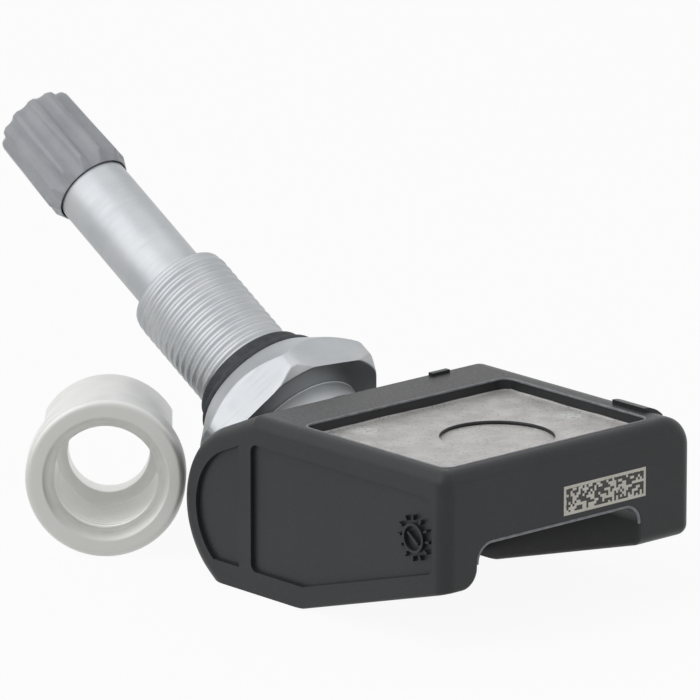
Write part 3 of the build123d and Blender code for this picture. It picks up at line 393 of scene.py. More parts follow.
def dress(piece, material, body, slot, *nodes):
    """Finish a piece: its material, the body it rides on and the solids it stands for. The slot argument is
    not used.
    """
    piece.data.materials.append(material)
    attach(piece, body)
    if nodes:
        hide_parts(*nodes)


def finish_solids(material, *nodes):
    """Give solids that stay in view their finish."""
    for node in nodes:
        for place in frame["nodes"][node].material_slots:
            place.material = material


# Finishes

def add_node(tree, kind, inputs=None, **settings):
    """Add one node; settings are its own properties, inputs are sockets by name or number,
    linked where the value is another node's output and set where it is a plain value."""
    node = tree.nodes.new(kind)
    for key, value in settings.items():
        setattr(node, key, value)
    for key, value in (inputs or {}).items():
        if isinstance(value, bpy.types.NodeSocket):
            tree.links.new(value, node.inputs[key])
        else:
            node.inputs[key].default_value = value
    return node


def opaque(code):
    """A colour property with full alpha, as a colour socket takes it."""
    return (*code, 1.0)


def ramp(tree, value, low, high, start=0.0, end=1.0):
    """A value carried from the span low to high over to the span start to end, and held beyond it."""
    return add_node(tree, "ShaderNodeMapRange", {"Value": value, "From Min": low, "From Max": high,
                                                 "To Min": start, "To Max": end}).outputs["Result"]


def tinted(tree, share, shade, tint):
    """A shade with a share of another colour mixed in."""
    return add_node(tree, "ShaderNodeMix", {0: share, 6: shade, 7: opaque(tint)}, data_type="RGBA").outputs[2]


def number_math(tree, kind, one, other):
    """A calculation of that kind on two numbers."""
    return add_node(tree, "ShaderNodeMath", {0: one, 1: other}, operation=kind).outputs["Value"]


def vector_math(tree, kind, one, other=(0, 0, 0)):
    """A calculation of that kind on one or two vectors."""
    return add_node(tree, "ShaderNodeVectorMath", {0: one, 1: other}, operation=kind).outputs


def noise(tree, place, width_mm, detail):
    """Soft noise whose patches are about that wide."""
    return add_node(tree, "ShaderNodeTexNoise",
                    {"Vector": place, "Scale": 1 / (width_mm * MM), "Detail": detail}).outputs["Fac"]


def mapped(tree, place, **change):
    """A place after a rotation or a scale."""
    inputs = {key.capitalize(): value for key, value in change.items()}
    return add_node(tree, "ShaderNodeMapping", {"Vector": place, **inputs}).outputs["Vector"]


def raise_skin(tree, shader, height, depth_mm):
    """Give a shader a relief of that depth."""
    rise = add_node(tree, "ShaderNodeBump", {"Height": height, "Distance": depth_mm * MM})
    tree.links.new(rise.outputs["Normal"], shader.inputs["Normal"])


def surface(name, base, cloud, cloud_mm, grain_mm, relief_mm, rough, metallic=0.0, ior=1.5,
            stretch=(1, 1, 1), turn=(0, 0, 0)):
    """A made surface: clouds of a second colour, and a fine grain with its relief and roughness.
    Sizes are in millimetres; stretch divides the grain's along the axes after the pattern is turned."""
    material = bpy.data.materials.new(name)
    material.use_nodes = True
    tree = material.node_tree
    shader = tree.nodes["Principled BSDF"]
    place = mapped(tree, add_node(tree, "ShaderNodeTexCoord").outputs["Object"], rotation=turn)
    clouds = noise(tree, place, cloud_mm, detail=3.0)
    shade = tinted(tree, ramp(tree, clouds, 0.35, 0.65), opaque(base), cloud)
    grain = noise(tree, mapped(tree, place, scale=stretch), grain_mm, detail=2.0)
    raise_skin(tree, shader, grain, relief_mm)
    tree.links.new(shade, shader.inputs["Base Color"])
    tree.links.new(ramp(tree, grain, 0.3, 0.7, *rough), shader.inputs["Roughness"])
    shader.inputs["Metallic"].default_value = metallic
    shader.inputs["IOR"].default_value = ior
    return material, tree, shader, {"place": place, "shade": shade, "grain": grain}


def along_turn(axis):
    """Rotation that lays an axis along the pattern's third direction."""
    return Vector(axis).rotation_difference(Vector((0, 0, 1))).to_euler()


def turned_aluminium(name, axis, base, cloud, bare=1.0):
    """Turned aluminium, lightly oxidised: fine rings of the tool round the axis under a soft satin gloss.
    The rings are drawn 0.16 mm apart, coarser than a lathe's feed, so that they show. Where the metal is
    blasted after turning, only the bare share of it mirrors, and the rest is a chalky oxide."""
    return surface(name, base, cloud, cloud_mm=5.0, grain_mm=4.0, relief_mm=0.003,
                   rough=(0.40, 0.52), metallic=bare, stretch=(1, 1, 25), turn=along_turn(axis))


def nut_aluminium(colours):
    """The nut's blasted aluminium, with painted shade on its front face, by the place along its line,
    and painted light in its thread, by the distance from its line."""
    material, tree, shader, parts = turned_aluminium(
        "turned_nut_aluminium", NUT_AXIS, colours.nut, colours.nut_cloud, 0.65)
    place = add_node(tree, "ShaderNodeTexCoord").outputs["Object"]
    inwards = vector_math(tree, "SUBTRACT", place, tuple(NUT_FRONT))["Vector"]
    along = vector_math(tree, "DOT_PRODUCT", inwards, tuple(NUT_AXIS))["Value"]
    aside = vector_math(tree, "CROSS_PRODUCT", inwards, tuple(NUT_AXIS))["Vector"]
    radius = vector_math(tree, "LENGTH", aside)["Value"]
    # each zone: its measure, where its colour is full, where it has ended, and the colour; the front's colour
    # is painted shade and the thread's painted light
    zones = ((along, 0.05 * MM, 0.7 * MM, colours.nut_front_painted_shade),
             (radius, NUT_BORE - 0.05 * MM, NUT_BORE, colours.nut_thread))
    shade = parts["shade"]
    for measure, full, end, tint in zones:
        shade = tinted(tree, ramp(tree, measure, full, end, 1.0, 0.0), shade, tint)
    tree.links.new(shade, shader.inputs["Base Color"])
    return material


def glass_filled_polyamide(colours):
    """Glass-filled polyamide, moulded in an eroded tool: charcoal, satin, with a fine dimpled skin,
    faint flow clouds and short glass fibres that catch the light."""
    material, tree, shader, parts = surface(
        "moulded_glass_filled_polyamide", colours.housing, [part * 1.16 for part in colours.housing],
        cloud_mm=6.0, grain_mm=0.24, relief_mm=0.010, rough=(0.34, 0.46), ior=1.53)
    strands = noise(tree, mapped(tree, parts["place"], scale=(1.0, 3.2, 3.2)), 0.5, detail=1.0)
    bright = ramp(tree, strands, 0.66, 0.78, 0.0, 0.4)
    tree.links.new(tinted(tree, bright, parts["shade"], colours.housing_fleck), shader.inputs["Base Color"])
    shader.inputs["Specular IOR Level"].default_value = 0.3
    return material


def potting_epoxy(colours):
    """Cast epoxy with mineral filler: pale grey, clouded, with darker specks and a shallow orange peel."""
    material, tree, shader, parts = surface(
        "cast_potting_epoxy", colours.resin, colours.resin_cloud,
        cloud_mm=2.4, grain_mm=0.5, relief_mm=0.016, rough=(0.34, 0.48), ior=1.55)
    specks = add_node(tree, "ShaderNodeTexVoronoi",
                      {"Vector": parts["place"], "Scale": 1 / (0.55 * MM)})
    dark = ramp(tree, specks.outputs["Distance"], 0.12, 0.26, 0.75, 0.0)
    shade = tinted(tree, dark, parts["shade"], colours.resin_speck)
    # pale splashes and painted highlights on top: distance from each spot, broken up by the fine grain
    patchy = ramp(tree, parts["grain"], 0.36, 0.50)
    for spot, width in PALE_SPOTS_AND_HIGHLIGHTS:
        away = vector_math(tree, "DISTANCE", parts["place"], spot)["Value"]
        near = ramp(tree, away, 0.3 * width, width, 1.0, 0.0)
        shade = tinted(tree, number_math(tree, "MULTIPLY", near, patchy), shade, colours.resin_splash_and_highlight)
    tree.links.new(shade, shader.inputs["Base Color"])
    return material


def moulded_cap_nylon(colours):
    """Grey nylon, moulded: flow clouds along the cap and a fine satin skin."""
    return surface("moulded_grey_nylon", colours.cap, colours.cap_cloud, cloud_mm=2.6, grain_mm=0.2,
                   relief_mm=0.008, rough=(0.26, 0.36), ior=1.53)[0]


def vulcanised_rubber(colours):
    """Moulded rubber: near black, dull, with a dry bloom in patches and a grainy skin."""
    return surface("moulded_rubber", colours.rubber, colours.rubber_bloom, cloud_mm=1.1, grain_mm=0.12,
                   relief_mm=0.010, rough=(0.55, 0.72), ior=1.52)[0]


def laser_whitened():
    """Laser-foamed polyamide: a pale, warm, matt ground."""
    return surface("laser_whitened_polyamide", linear("#dbd6cb"), linear("#e5e0d7"), cloud_mm=1.2,
                   grain_mm=0.12, relief_mm=0.008, rough=(0.5, 0.65))


def marked_cells():
    """The same pale ground with dark cells about a quarter of a millimetre wide, filled by chance,
    so they carry no message."""
    cell = 0.27 * MM
    pale_share = 0.46
    material, tree, shader, parts = laser_whitened()
    material.name = "laser_marked_polyamide"
    snapped = vector_math(tree, "SNAP", parts["place"], (cell, 1.0, cell))["Vector"]
    chance = add_node(tree, "ShaderNodeTexWhiteNoise", {"Vector": snapped}).outputs["Value"]
    dark = number_math(tree, "GREATER_THAN", chance, pale_share)
    cells = tinted(tree, dark, parts["shade"], linear("#3d3b39"))
    tree.links.new(cells, shader.inputs["Base Color"])
    return material


def wound_copper():
    """Enamelled copper winding: thin wires side by side, warm and glossy."""
    wire_mm = 0.13
    material, tree, shader, parts = surface(
        "enamelled_copper_winding", linear("#b8693a"), linear("#9c5228"), cloud_mm=1.5, grain_mm=wire_mm,
        relief_mm=0.004, rough=(0.25, 0.35), metallic=1.0)
    scale = FULL_TURN / (WAVE_RADIANS * wire_mm * MM)
    wires = add_node(tree, "ShaderNodeTexWave", {"Vector": parts["place"], "Scale": scale, "Distortion": 0.2})
    raise_skin(tree, shader, wires.outputs["Fac"], 0.05)
    return material


def glass_laminate():
    """Glass-epoxy laminate under green solder mask, with a faint square weave."""
    weave_mm = 0.5
    material, tree, shader, parts = surface(
        "glass_epoxy_laminate", linear("#1f5a38"), linear("#2a6b45"), cloud_mm=2.0, grain_mm=0.3,
        relief_mm=0.006, rough=(0.28, 0.4), ior=1.55)
    scale = FULL_TURN / (WAVE_RADIANS * weave_mm * MM)
    weave = [add_node(tree, "ShaderNodeTexWave", {"Vector": parts["place"], "Scale": scale},
                      bands_direction=way).outputs["Fac"] for way in ("X", "Y")]
    raise_skin(tree, shader, number_math(tree, "ADD", *weave), 0.012)
    return material


# Pieces

def settings():
    """Sizes and colours of the open scene."""
    chosen = bpy.context.scene.tyre_sensor
    return chosen.sizes, chosen.colours


def stem_material():
    """The valve's aluminium, made once and shared by its two pieces."""
    found = bpy.data.materials.get("turned_valve_aluminium")
    colours = settings()[1]
    return found or turned_aluminium("turned_valve_aluminium", VALVE_AXIS, colours.valve,
                                     colours.valve_cloud)[0]


class SENSOR_OT_valve_base(bpy.types.Operator):
    """Foot, spigot and chamfered hexagon of the valve"""

    bl_idname = "tyre_sensor.valve_base"
    bl_label = "Valve base"

    def execute(self, context):
        size, _ = settings()
        angles, across = hexagon_angles(FIRST_CORNER)
        flat = np.minimum(size.hex_flats / 2 / np.cos(across), HEX_CORNER)
        under = np.maximum(flat - (HEX_CORNER - size.hex_under), 0)
        fall = (size.hex_height - size.hex_straight) / (HEX_CORNER - size.hex_top)
        shoulder = size.hex_straight + (HEX_CORNER - flat) * fall
        bore_end = 0.6 * MM - size.foot_length
        profile = rows_of(
            len(angles), (SPIGOT_END + size.screw_depth, 0), (SPIGOT_END + size.screw_depth, size.screw_hole),
            (SPIGOT_END, size.screw_hole), (SPIGOT_END, size.spigot_radius),
            (-size.foot_length, size.spigot_radius), (-size.foot_length, size.foot_radius),
            (0, size.foot_radius), (0, np.minimum(flat, HEX_CORNER - size.hex_under)), (under, flat),
            (shoulder, flat), (size.hex_height, size.hex_top), (size.hex_height, size.neck_radius),
            (SEAL_TOP, size.neck_radius), (SEAL_TOP, size.air_bore), (bore_end, size.air_bore), (bore_end, 0))
        base = valve_skin("valve_base", softened(profile, size.edge_break), angles)
        # the air hole is drilled through both sides of the foot
        side = 2 * size.foot_radius
        around = even_angles(32)
        rod = rows_of(len(around), (-side, 0), (-side, size.air_hole), (side, size.air_hole), (side, 0))
        hole = SEAT - size.air_hole_drop * VALVE_AXIS
        drill = skin("air_drill", turned_points(hole, VALVE_SIDE, VALVE_AXIS, rod, around))
        cut = base.modifiers.new("air_hole", "BOOLEAN")
        cut.object = drill
        cut.solver = "EXACT"
        context.view_layer.objects.active = base
        bpy.ops.object.modifier_apply(modifier=cut.name)
        bpy.data.objects.remove(drill)
        base.data.set_sharp_from_angle(angle=math.radians(62))
        dress(base, stem_material(), "root", "stem_aluminium", "valve_stem")
        return {"FINISHED"}


class SENSOR_OT_valve_shank(bpy.types.Operator):
    """Threaded collar, slim stem and valve thread, with the bore for the core"""

    bl_idname = "tyre_sensor.valve_shank"
    bl_label = "Valve shank"

    def execute(self, context):
        size, _ = settings()
        angles = even_angles(128)
        collar_top = SEAL_TOP + COLLAR_LENGTH + size.collar_chamfer
        thread_low = STEM_TOP - size.valve_thread_length
        run_in = 0.5 * MM
        bore_end = STEM_TOP - size.core_bore_length
        chamber_end = STEM_TOP - size.core_chamber_length
        collar_core = COLLAR_RADIUS - size.collar_depth
        thread_core = size.valve_thread - size.valve_depth
        collar_rows = thread_rows(SEAL_TOP, collar_top, size.collar_pitch, collar_core, size.collar_depth,
                                  angles)
        valve_rows = thread_rows(thread_low, STEM_TOP, size.valve_pitch, thread_core, size.valve_depth,
                                 angles)
        lower = softened(rows_of(
            len(angles), (SEAL_TOP + 0.1 * MM, size.air_bore), (SEAL_TOP, size.air_bore),
            (SEAL_TOP, collar_core - 0.15 * MM), (SEAL_TOP, collar_core)), size.edge_break)
        plain = softened(rows_of(
            len(angles), (collar_top, collar_core), (collar_top, size.stem_radius),
            (thread_low - run_in, size.stem_radius), (thread_low, thread_core)), size.edge_break)
        bore = softened(rows_of(
            len(angles), (STEM_TOP, thread_core), (STEM_TOP, size.core_bore), (bore_end, size.core_bore),
            (bore_end - size.core_taper, size.core_chamber), (chamber_end, size.core_chamber),
            (chamber_end - size.core_taper, size.air_bore), (SEAL_TOP + 0.2 * MM, size.air_bore)),
            size.edge_break)
        profile = np.concatenate((lower, collar_rows[1:], plain[1:], valve_rows[1:], bore[1:]))
        shank = valve_skin("valve_shank", profile, angles, rows_closed=True)
        dress(shank, stem_material(), "root", "stem_aluminium", "valve_stem")
        return {"FINISHED"}


class SENSOR_OT_seals(bpy.types.Operator):
    """Stepped rubber seal above the hexagon, and the finish of the small seals"""

    bl_idname = "tyre_sensor.seals"
    bl_label = "Seals"

    def execute(self, context):
        size, colours = settings()
        rubber = vulcanised_rubber(colours)
        angles = even_angles(120)
        lip_top = SEAL_LOW + size.seal_lip
        fillet = 0.25 * MM
        inside = 0.3 * MM
        edge = 0.13 * MM
        profile = rows_of(
            len(angles), (SEAL_LOW + inside, size.neck_radius), (SEAL_LOW, size.neck_radius),
            (SEAL_LOW, SEAL_LIP), (lip_top, SEAL_LIP), (lip_top, size.seal_ring + fillet),
            (lip_top + fillet, size.seal_ring), (SEAL_TOP, size.seal_ring), (SEAL_TOP, size.neck_radius),
            (SEAL_TOP - inside, size.neck_radius))
        seal = valve_skin("seal_ring", softened(profile, edge), angles, rows_closed=True)
        dress(seal, rubber, "root", "seal_rubber", "stem_seal")
        finish_solids(rubber, "port_gasket", "cap_seal", "core_cup_seal")
        return {"FINISHED"}


class SENSOR_OT_valve_cap(bpy.types.Operator):
    """Fluted screw cap"""

    bl_idname = "tyre_sensor.valve_cap"
    bl_label = "Valve cap"

    def execute(self, context):
        size, colours = settings()
        columns = size.flutes * 16
        angles = even_angles(columns, FIRST_FLUTE)
        # distance from the middle of the nearest flute, and the radius at which the flute's round is met
        spacing = FULL_TURN / size.flutes
        offset = np.abs((angles - FIRST_FLUTE + spacing / 2) % spacing - spacing / 2)
        chord = size.flute_radius ** 2 - (size.flute_distance * np.sin(offset)) ** 2
        flute = np.where(chord > 0, size.flute_distance * np.cos(offset) - np.sqrt(np.maximum(chord, 0)), 1.0)
        round_off = np.linspace(0, math.pi / 2, 7)
        edge_low = CAP_TOP - size.cap_edge
        along = np.concatenate((
            CAP_RIM + size.cap_bevel * np.array((0, 0.04, 0.35, 0.7, 0.95, 1.0, 1.05)),
            np.linspace(CAP_RIM + size.cap_bevel * 1.3, edge_low - 0.1 * MM, 12),
            edge_low + size.cap_edge * np.sin(round_off)))
        taper = np.interp(along, (CAP_RIM, edge_low), (CAP_RADIUS, size.cap_top_radius))
        bevel = np.interp(along, (CAP_RIM, CAP_RIM + size.cap_bevel), (size.cap_bevel_depth, 0))
        rounding = np.zeros(len(along))
        rounding[-len(round_off):] = size.cap_edge * (1 - np.cos(round_off))
        # the lower of tapered wall and flute, with the edge between them softened
        wall = (taper - bevel - rounding)[:, None] + np.zeros(columns)
        groove = flute - rounding[:, None]
        blend = 0.025 * MM
        gap = np.clip((wall - groove) / blend, -30, 30)
        outer = wall - blend * np.log1p(np.exp(gap))
        outside = np.stack((along[:, None] + np.zeros(columns), outer), axis=-1)
        roof = CAP_TOP - size.cap_roof
        skirt_top = CAP_RIM + size.cap_skirt
        inside = softened(rows_of(
            columns, (roof, 0), (roof, size.cap_bore), (skirt_top, size.cap_bore),
            (skirt_top, size.cap_skirt_radius), (CAP_RIM, size.cap_skirt_radius),
            (CAP_RIM, size.cap_skirt_radius + 0.1 * MM)), size.edge_break)
        middle = rows_of(columns, (CAP_TOP, 2.4 * MM), (CAP_TOP, 1.2 * MM), (CAP_TOP, 0))
        cap = valve_skin("cap_fluted", np.concatenate((inside, outside, middle)), angles)
        dress(cap, moulded_cap_nylon(colours), "valve_cap", "cap_plastic", "valve_cap")
        return {"FINISHED"}


class SENSOR_OT_collar_nut(bpy.types.Operator):
    """Collar nut with a round flange, two spanner flats and an inner thread, lying beside the housing"""

    bl_idname = "tyre_sensor.collar_nut"
    bl_label = "Collar nut"

    def execute(self, context):
        size, colours = settings()
        # each flat ends where it meets the round body, with columns close to both sides of that edge
        edge = math.acos(size.nut_flats / 2 / size.nut_body)
        beside = edge + math.radians(0.5) * np.array((-1, 0, 1))
        ends = np.concatenate((beside, -beside, math.pi + beside, math.pi - beside)) % FULL_TURN
        angles = np.sort(np.concatenate((even_angles(140), ends)))
        flat = np.minimum(size.nut_body, size.nut_flats / 2 / np.maximum(np.abs(np.cos(angles)), 0.5))
        # the thread's crests stand inwards from the bore, which is as wide as the thread's grooves
        crest = NUT_BORE - size.nut_depth
        mouth = NUT_MOUTH + size.nut_depth
        thread_end = NUT_MOUTH + NUT_THREAD_LENGTH
        flats_start = size.nut_length - size.nut_flats_length
        exit_edge = 0.3 * MM
        round_off = np.linspace(0, math.pi / 2, 8)
        rim = [(size.nut_rim * (1 - math.sin(turn)), size.nut_flange - size.nut_rim * (1 - math.cos(turn)))
               for turn in round_off[::-1]]
        front = softened(rows_of(
            len(angles), (mouth, crest), (0, crest + mouth), (0, size.nut_flange - size.nut_rim - 0.1 * MM)),
            size.edge_break)
        flange = rows_of(len(angles), *rim)
        behind = softened(rows_of(
            len(angles), (size.nut_rim, size.nut_flange),
            (size.nut_flange_height - size.nut_back, size.nut_flange),
            (size.nut_flange_height, size.nut_flange - size.nut_back),
            (size.nut_flange_height, size.nut_body), (flats_start, size.nut_body), (flats_start, flat),
            (size.nut_length - size.nut_back, flat), (size.nut_length, flat - size.nut_back),
            (size.nut_length, size.nut_exit + exit_edge), (size.nut_length - exit_edge, size.nut_exit),
            (thread_end + size.nut_cone, size.nut_exit), (thread_end, crest)), size.edge_break)
        thread = thread_rows(mouth, thread_end, size.collar_pitch, crest, size.nut_depth, angles)[::-1]
        profile = np.concatenate((front, flange, behind[1:], thread[1:-1]))
        points = turned_points(NUT_FRONT, NUT_AXIS, NUT_SIDE, profile, angles)
        dress(skin("nut_flanged", points, rows_closed=True), nut_aluminium(colours), "root", "nut_aluminium",
              "collar_nut")
        return {"FINISHED"}


class SENSOR_OT_core_spring(bpy.types.Operator):
    """Coiled spring of the valve core, drawn at one length; the real spring shortens as the pin goes down"""

    bl_idname = "tyre_sensor.core_spring"
    bl_label = "Core spring"

    def execute(self, context):
        size, _ = settings()
        turn = np.linspace(0, size.spring_turns * FULL_TURN, size.spring_turns * 28)
        coil = SPRING_RADIUS - size.spring_wire
        third = np.cross(VALVE_AXIS, VALVE_SIDE)
        out = np.cos(turn)[:, None] * VALVE_SIDE + np.sin(turn)[:, None] * third
        rise = np.linspace(SPRING_LOW + size.spring_wire, SPRING_TOP - size.spring_wire, len(turn))
        middle = SEAT + rise[:, None] * VALVE_AXIS + coil * out
        spring = wire("core_coil", middle, out, VALVE_AXIS, size.spring_wire, 10)
        steel = surface("drawn_stainless_wire", linear("#b9b7b2"), linear("#a5a39e"), cloud_mm=0.5,
                        grain_mm=0.08, relief_mm=0.002, rough=(0.2, 0.32), metallic=1.0)
        dress(spring, steel[0], "root", "cell_steel", "core_spring")
        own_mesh(spring)
        return {"FINISHED"}


def tray_band(name, corner, inset, height, unrest):
    """Band round the tray: a rectangle with rounded corners, moved inwards and upwards row by row
    by inset and height, with unrest times a sum of three sines of the place round the tray on top."""
    middle = (RESIN_LOW + RESIN_HIGH)[:2] / 2
    half = (RESIN_HIGH - RESIN_LOW)[:2] / 2
    quarter = np.linspace(0, math.pi / 2, 10)
    bend = np.concatenate([quarter + turn * math.pi / 2 for turn in range(4)])
    sign = np.repeat(((1, 1), (-1, 1), (-1, -1), (1, -1)), 10, axis=0)
    spokes = np.stack((np.cos(bend), np.sin(bend)), axis=-1)
    radius = corner - np.minimum(inset, corner * 0.9)
    knots = sign * (half - corner) + radius[:, None, None] * spokes
    # each straight wall between two corners is divided evenly; the corners keep their own points
    step = np.roll(knots, -1, axis=1) - knots
    wide = np.linalg.norm(step, axis=-1).max(axis=0) > 2 * MM
    share = [np.linspace(0, 1, 24 if wall else 1, endpoint=False) for wall in wide]
    place = np.repeat(np.arange(len(wide)), [len(part) for part in share])
    loop = knots[:, place] + step[:, place] * np.concatenate(share)[None, :, None]
    spot = np.arange(len(place))
    swell = 1 + 0.12 * np.sin(spot * 0.61) + 0.10 * np.sin(spot * 0.23 + 1.7) + 0.06 * np.sin(spot * 1.37)
    level = height[:, None] + unrest[:, None] * swell
    return skin(name, np.concatenate((loop + middle, level[..., None]), axis=-1), rows_closed=True)


class SENSOR_OT_potting(bpy.types.Operator):
    """Finish of the resin, its creep up the tray's walls, the opening's pale edge bead, which paints a
    highlight, and the dimple's dark lip, which paints the shade in its step
    """

    bl_idname = "tyre_sensor.potting"
    bl_label = "Potting"

    def execute(self, context):
        size, colours = settings()
        resin = potting_epoxy(colours)
        finish_solids(resin, "resin_fill")
        middle = (RESIN_LOW + RESIN_HIGH) / 2
        top = RESIN_HIGH[2]
        inset = size.meniscus * np.array((0.0, 0.04, 0.14, 0.34, 0.66, 1.0, 1.0, 0.0))
        climb = size.meniscus * np.array((0.62, 0.42, 0.24, 0.09, 0.02, 0.004, -0.3, -0.3))
        creep = tray_band("resin_creep", size.tray_corner, inset, top + np.minimum(climb, 0),
                          np.maximum(climb, 0))
        dress(creep, resin, "root", "potting_resin")

        # a round bead on the edge of the tray's opening, its middle a little below the rim's top; its pale
        # colour paints the highlight along that edge
        section = even_angles(10)
        bead = size.rim_bead
        sunk = 0.35
        edge = tray_band("tray_edge", size.tray_corner, bead * np.cos(section),
                         size.rim_top - bead * (sunk - np.sin(section)), np.zeros(len(section)))
        dress(edge, pale_edge_highlight_plastic(), "root", "housing_plastic")

        # the dark lip lines the dimple's wall and ends just below its edge: dark plastic of the well's wall,
        # and painted shade in the step
        well = np.array((middle[0] + size.dimple_offset, middle[1] - size.dimple_forward,
                         top - size.dimple_depth))
        angles = even_angles(96)
        lip_top = size.dimple_depth * 0.92
        lip_inside = size.dimple_radius - 0.03 * MM
        lip = rows_of(len(angles), (0, size.dimple_radius), (0, lip_inside), (lip_top, lip_inside),
                      (lip_top, size.dimple_radius))
        points = turned_points(well, np.array((0, 0, 1.0)), VALVE_SIDE, lip, angles)
        dress(skin("dimple_lip_painted_shade", points, rows_closed=True), housing_material(), "root", "housing_plastic")
        return {"FINISHED"}


def housing_material():
    """The housing's plastic, made once and shared by its pieces."""
    found = bpy.data.materials.get("moulded_glass_filled_polyamide")
    return found or glass_filled_polyamide(settings()[1])


def pale_edge_highlight_plastic():
    """Plastic of the moulding's trimmed edges, paler than the skin to paint the highlight along them; made
    once and shared.
    """
    name = "polyamide_edge_painted_highlight"
    found = bpy.data.materials.get(name)
    return found or surface(name, linear("#74757a"), linear("#8e8f94"), cloud_mm=0.8, grain_mm=0.1,
                            relief_mm=0.006, rough=(0.36, 0.5))[0]


def wall_plate(name, margin, proud):
    """Thin plate on the front wall, over the marked field less a margin: a rectangle's outline carried
    through the wall's face, with closed ends."""
    size, _ = settings()
    behind = 0.08 * MM
    depth = np.array((behind, behind, -proud, -proud))
    share = np.array((0.0, 1.0, 1.0, 0.0))
    outline = np.array(((-1, -1), (1, -1), (1, 1), (-1, 1))) / 2
    sides = np.array((size.patch_width, size.patch_height)) - 2 * margin
    spread = share[:, None, None] * outline * sides
    points = np.stack((spread[..., 0] + size.patch_middle, HOUSING_FRONT + depth[:, None] + np.zeros(4),
                       spread[..., 1] + size.patch_low + size.patch_height / 2), axis=-1)
    plate = skin(name, points)
    plate.data.polygons.foreach_set("use_smooth", np.zeros(len(plate.data.polygons), dtype=bool))
    return plate


class SENSOR_OT_housing(bpy.types.Operator):
    """Finish of the moulded housing, the marked field on its front wall and the flash round the channel, pale
    to paint the highlight on that edge
    """

    bl_idname = "tyre_sensor.housing"
    bl_label = "Housing"

    def execute(self, context):
        size, _ = settings()
        finish_solids(housing_material(), "housing")
        ground = wall_plate("marked_ground", margin=0, proud=0.02 * MM)
        dress(ground, laser_whitened()[0], "root", "housing_plastic")
        cells = wall_plate("marked_cells", margin=size.patch_margin, proud=0.03 * MM)
        dress(cells, marked_cells(), "root", "housing_plastic")

        # the bead follows the channel's outline: up one wall, along the roof and down the other wall; its
        # pale colour paints the highlight on the edge
        sunk = size.flash_radius * 0.6
        quarter = np.linspace(0, math.pi / 2, 12)
        bend = size.channel_round
        left = -size.channel_left
        right = size.channel_right
        roof = size.channel_roof
        wall_top = roof - bend - 0.1 * MM
        across = np.concatenate(((left, left), left + bend * (1 - np.cos(quarter)),
                                 right - bend * (1 - np.cos(quarter[::-1])), (right, right)))
        upward = np.concatenate(((size.flash_low, wall_top), roof - bend * (1 - np.sin(quarter)),
                                 roof - bend * (1 - np.sin(quarter[::-1])), (wall_top, size.flash_low)))
        run = np.gradient(np.stack((across, upward), axis=-1), axis=0)
        run = run / np.linalg.norm(run, axis=1, keepdims=True)
        out = np.stack((-run[:, 1], np.zeros(len(run)), run[:, 0]), axis=-1)
        middle = np.stack((across, np.full(len(run), HOUSING_FRONT + sunk), upward), axis=-1) + sunk * out
        flash = wire("channel_flash", middle, out, np.array((0, 1, 0)), size.flash_radius, 12)
        dress(flash, pale_edge_highlight_plastic(), "root", "housing_plastic")
        return {"FINISHED"}


class SENSOR_OT_inner_parts(bpy.types.Operator):
    """Finishes of the electronics, the fixing screw and the valve core"""

    bl_idname = "tyre_sensor.inner_parts"
    bl_label = "Inner parts"

    def execute(self, context):
        finish_solids(glass_laminate(), "circuit_board")
        finish_solids(wound_copper(), "wake_coil")
        # name, two colours, widths of clouds and grain, depth of relief, roughness, what else differs, solids
        finishes = (
            # moulded chip case: black epoxy with a fine sparkle of silica
            ("moulded_chip_epoxy", "#232325", "#2d2d30", 1.0, 0.08, 0.004, (0.45, 0.6), {"ior": 1.55},
             ("sensor_chip",)),
            # stretched fluoropolymer membrane: white, matt and fibrous
            ("stretched_fluoropolymer", "#e4e4e1", "#d2d2ce", 0.8, 0.1, 0.012, (0.6, 0.8),
             {"ior": 1.38, "stretch": (4, 1, 1)}, ("port_filter", "core_ring")),
            # nickel-plated steel: rolled, slightly warm, with fine rolling lines
            ("nickel_plated_steel", "#c4bfb4", "#aea99e", 4.0, 2.0, 0.003, (0.2, 0.32),
             {"metallic": 1.0, "stretch": (1, 16, 1)},
             ("battery_cell", "battery_tab_minus", "battery_tab_plus", "crystal")),
            # zinc-plated screw steel: bluish and slightly uneven
            ("zinc_plated_steel", "#b3b7bd", "#9a9fa8", 0.9, 0.15, 0.006, (0.24, 0.4), {"metallic": 1.0},
             ("fixing_screw", "screw_washer")),
            # tinned copper strip
            ("tinned_copper", "#c9b9a8", "#bcae9f", 1.5, 0.3, 0.006, (0.26, 0.4), {"metallic": 1.0},
             ("antenna",)),
            # fired ceramic
            ("fired_ceramic", "#b08f66", "#9c7c55", 0.5, 0.06, 0.003, (0.3, 0.42), {"ior": 1.7},
             ("capacitors",)),
            # turned brass, with rings round the valve's line
            ("turned_brass", "#cfae63", "#b8964e", 1.5, 2.5, 0.006, (0.18, 0.3),
             {"metallic": 1.0, "stretch": (1, 1, 25), "turn": along_turn(VALVE_AXIS)},
             ("core_body", "core_pin")))
        for name, base, cloud, cloud_mm, grain_mm, relief_mm, rough, more, nodes in finishes:
            made = surface(name, linear(base), linear(cloud), cloud_mm, grain_mm, relief_mm, rough, **more)
            finish_solids(made[0], *nodes)
        return {"FINISHED"}


def seen_rays(tree):
    """One for rays from the camera and from gloss, nought for the light that falls on things."""
    rays = add_node(tree, "ShaderNodeLightPath").outputs
    return number_math(tree, "MAXIMUM", rays["Is Camera Ray"], rays["Is Glossy Ray"])


def seen_and_lit(tree, share, lit, seen):
    """One shader for the light that falls on things, and a share of another for what is seen."""
    return add_node(tree, "ShaderNodeMixShader", {0: share, 1: lit.outputs[0], 2: seen.outputs[0]}).outputs[0]


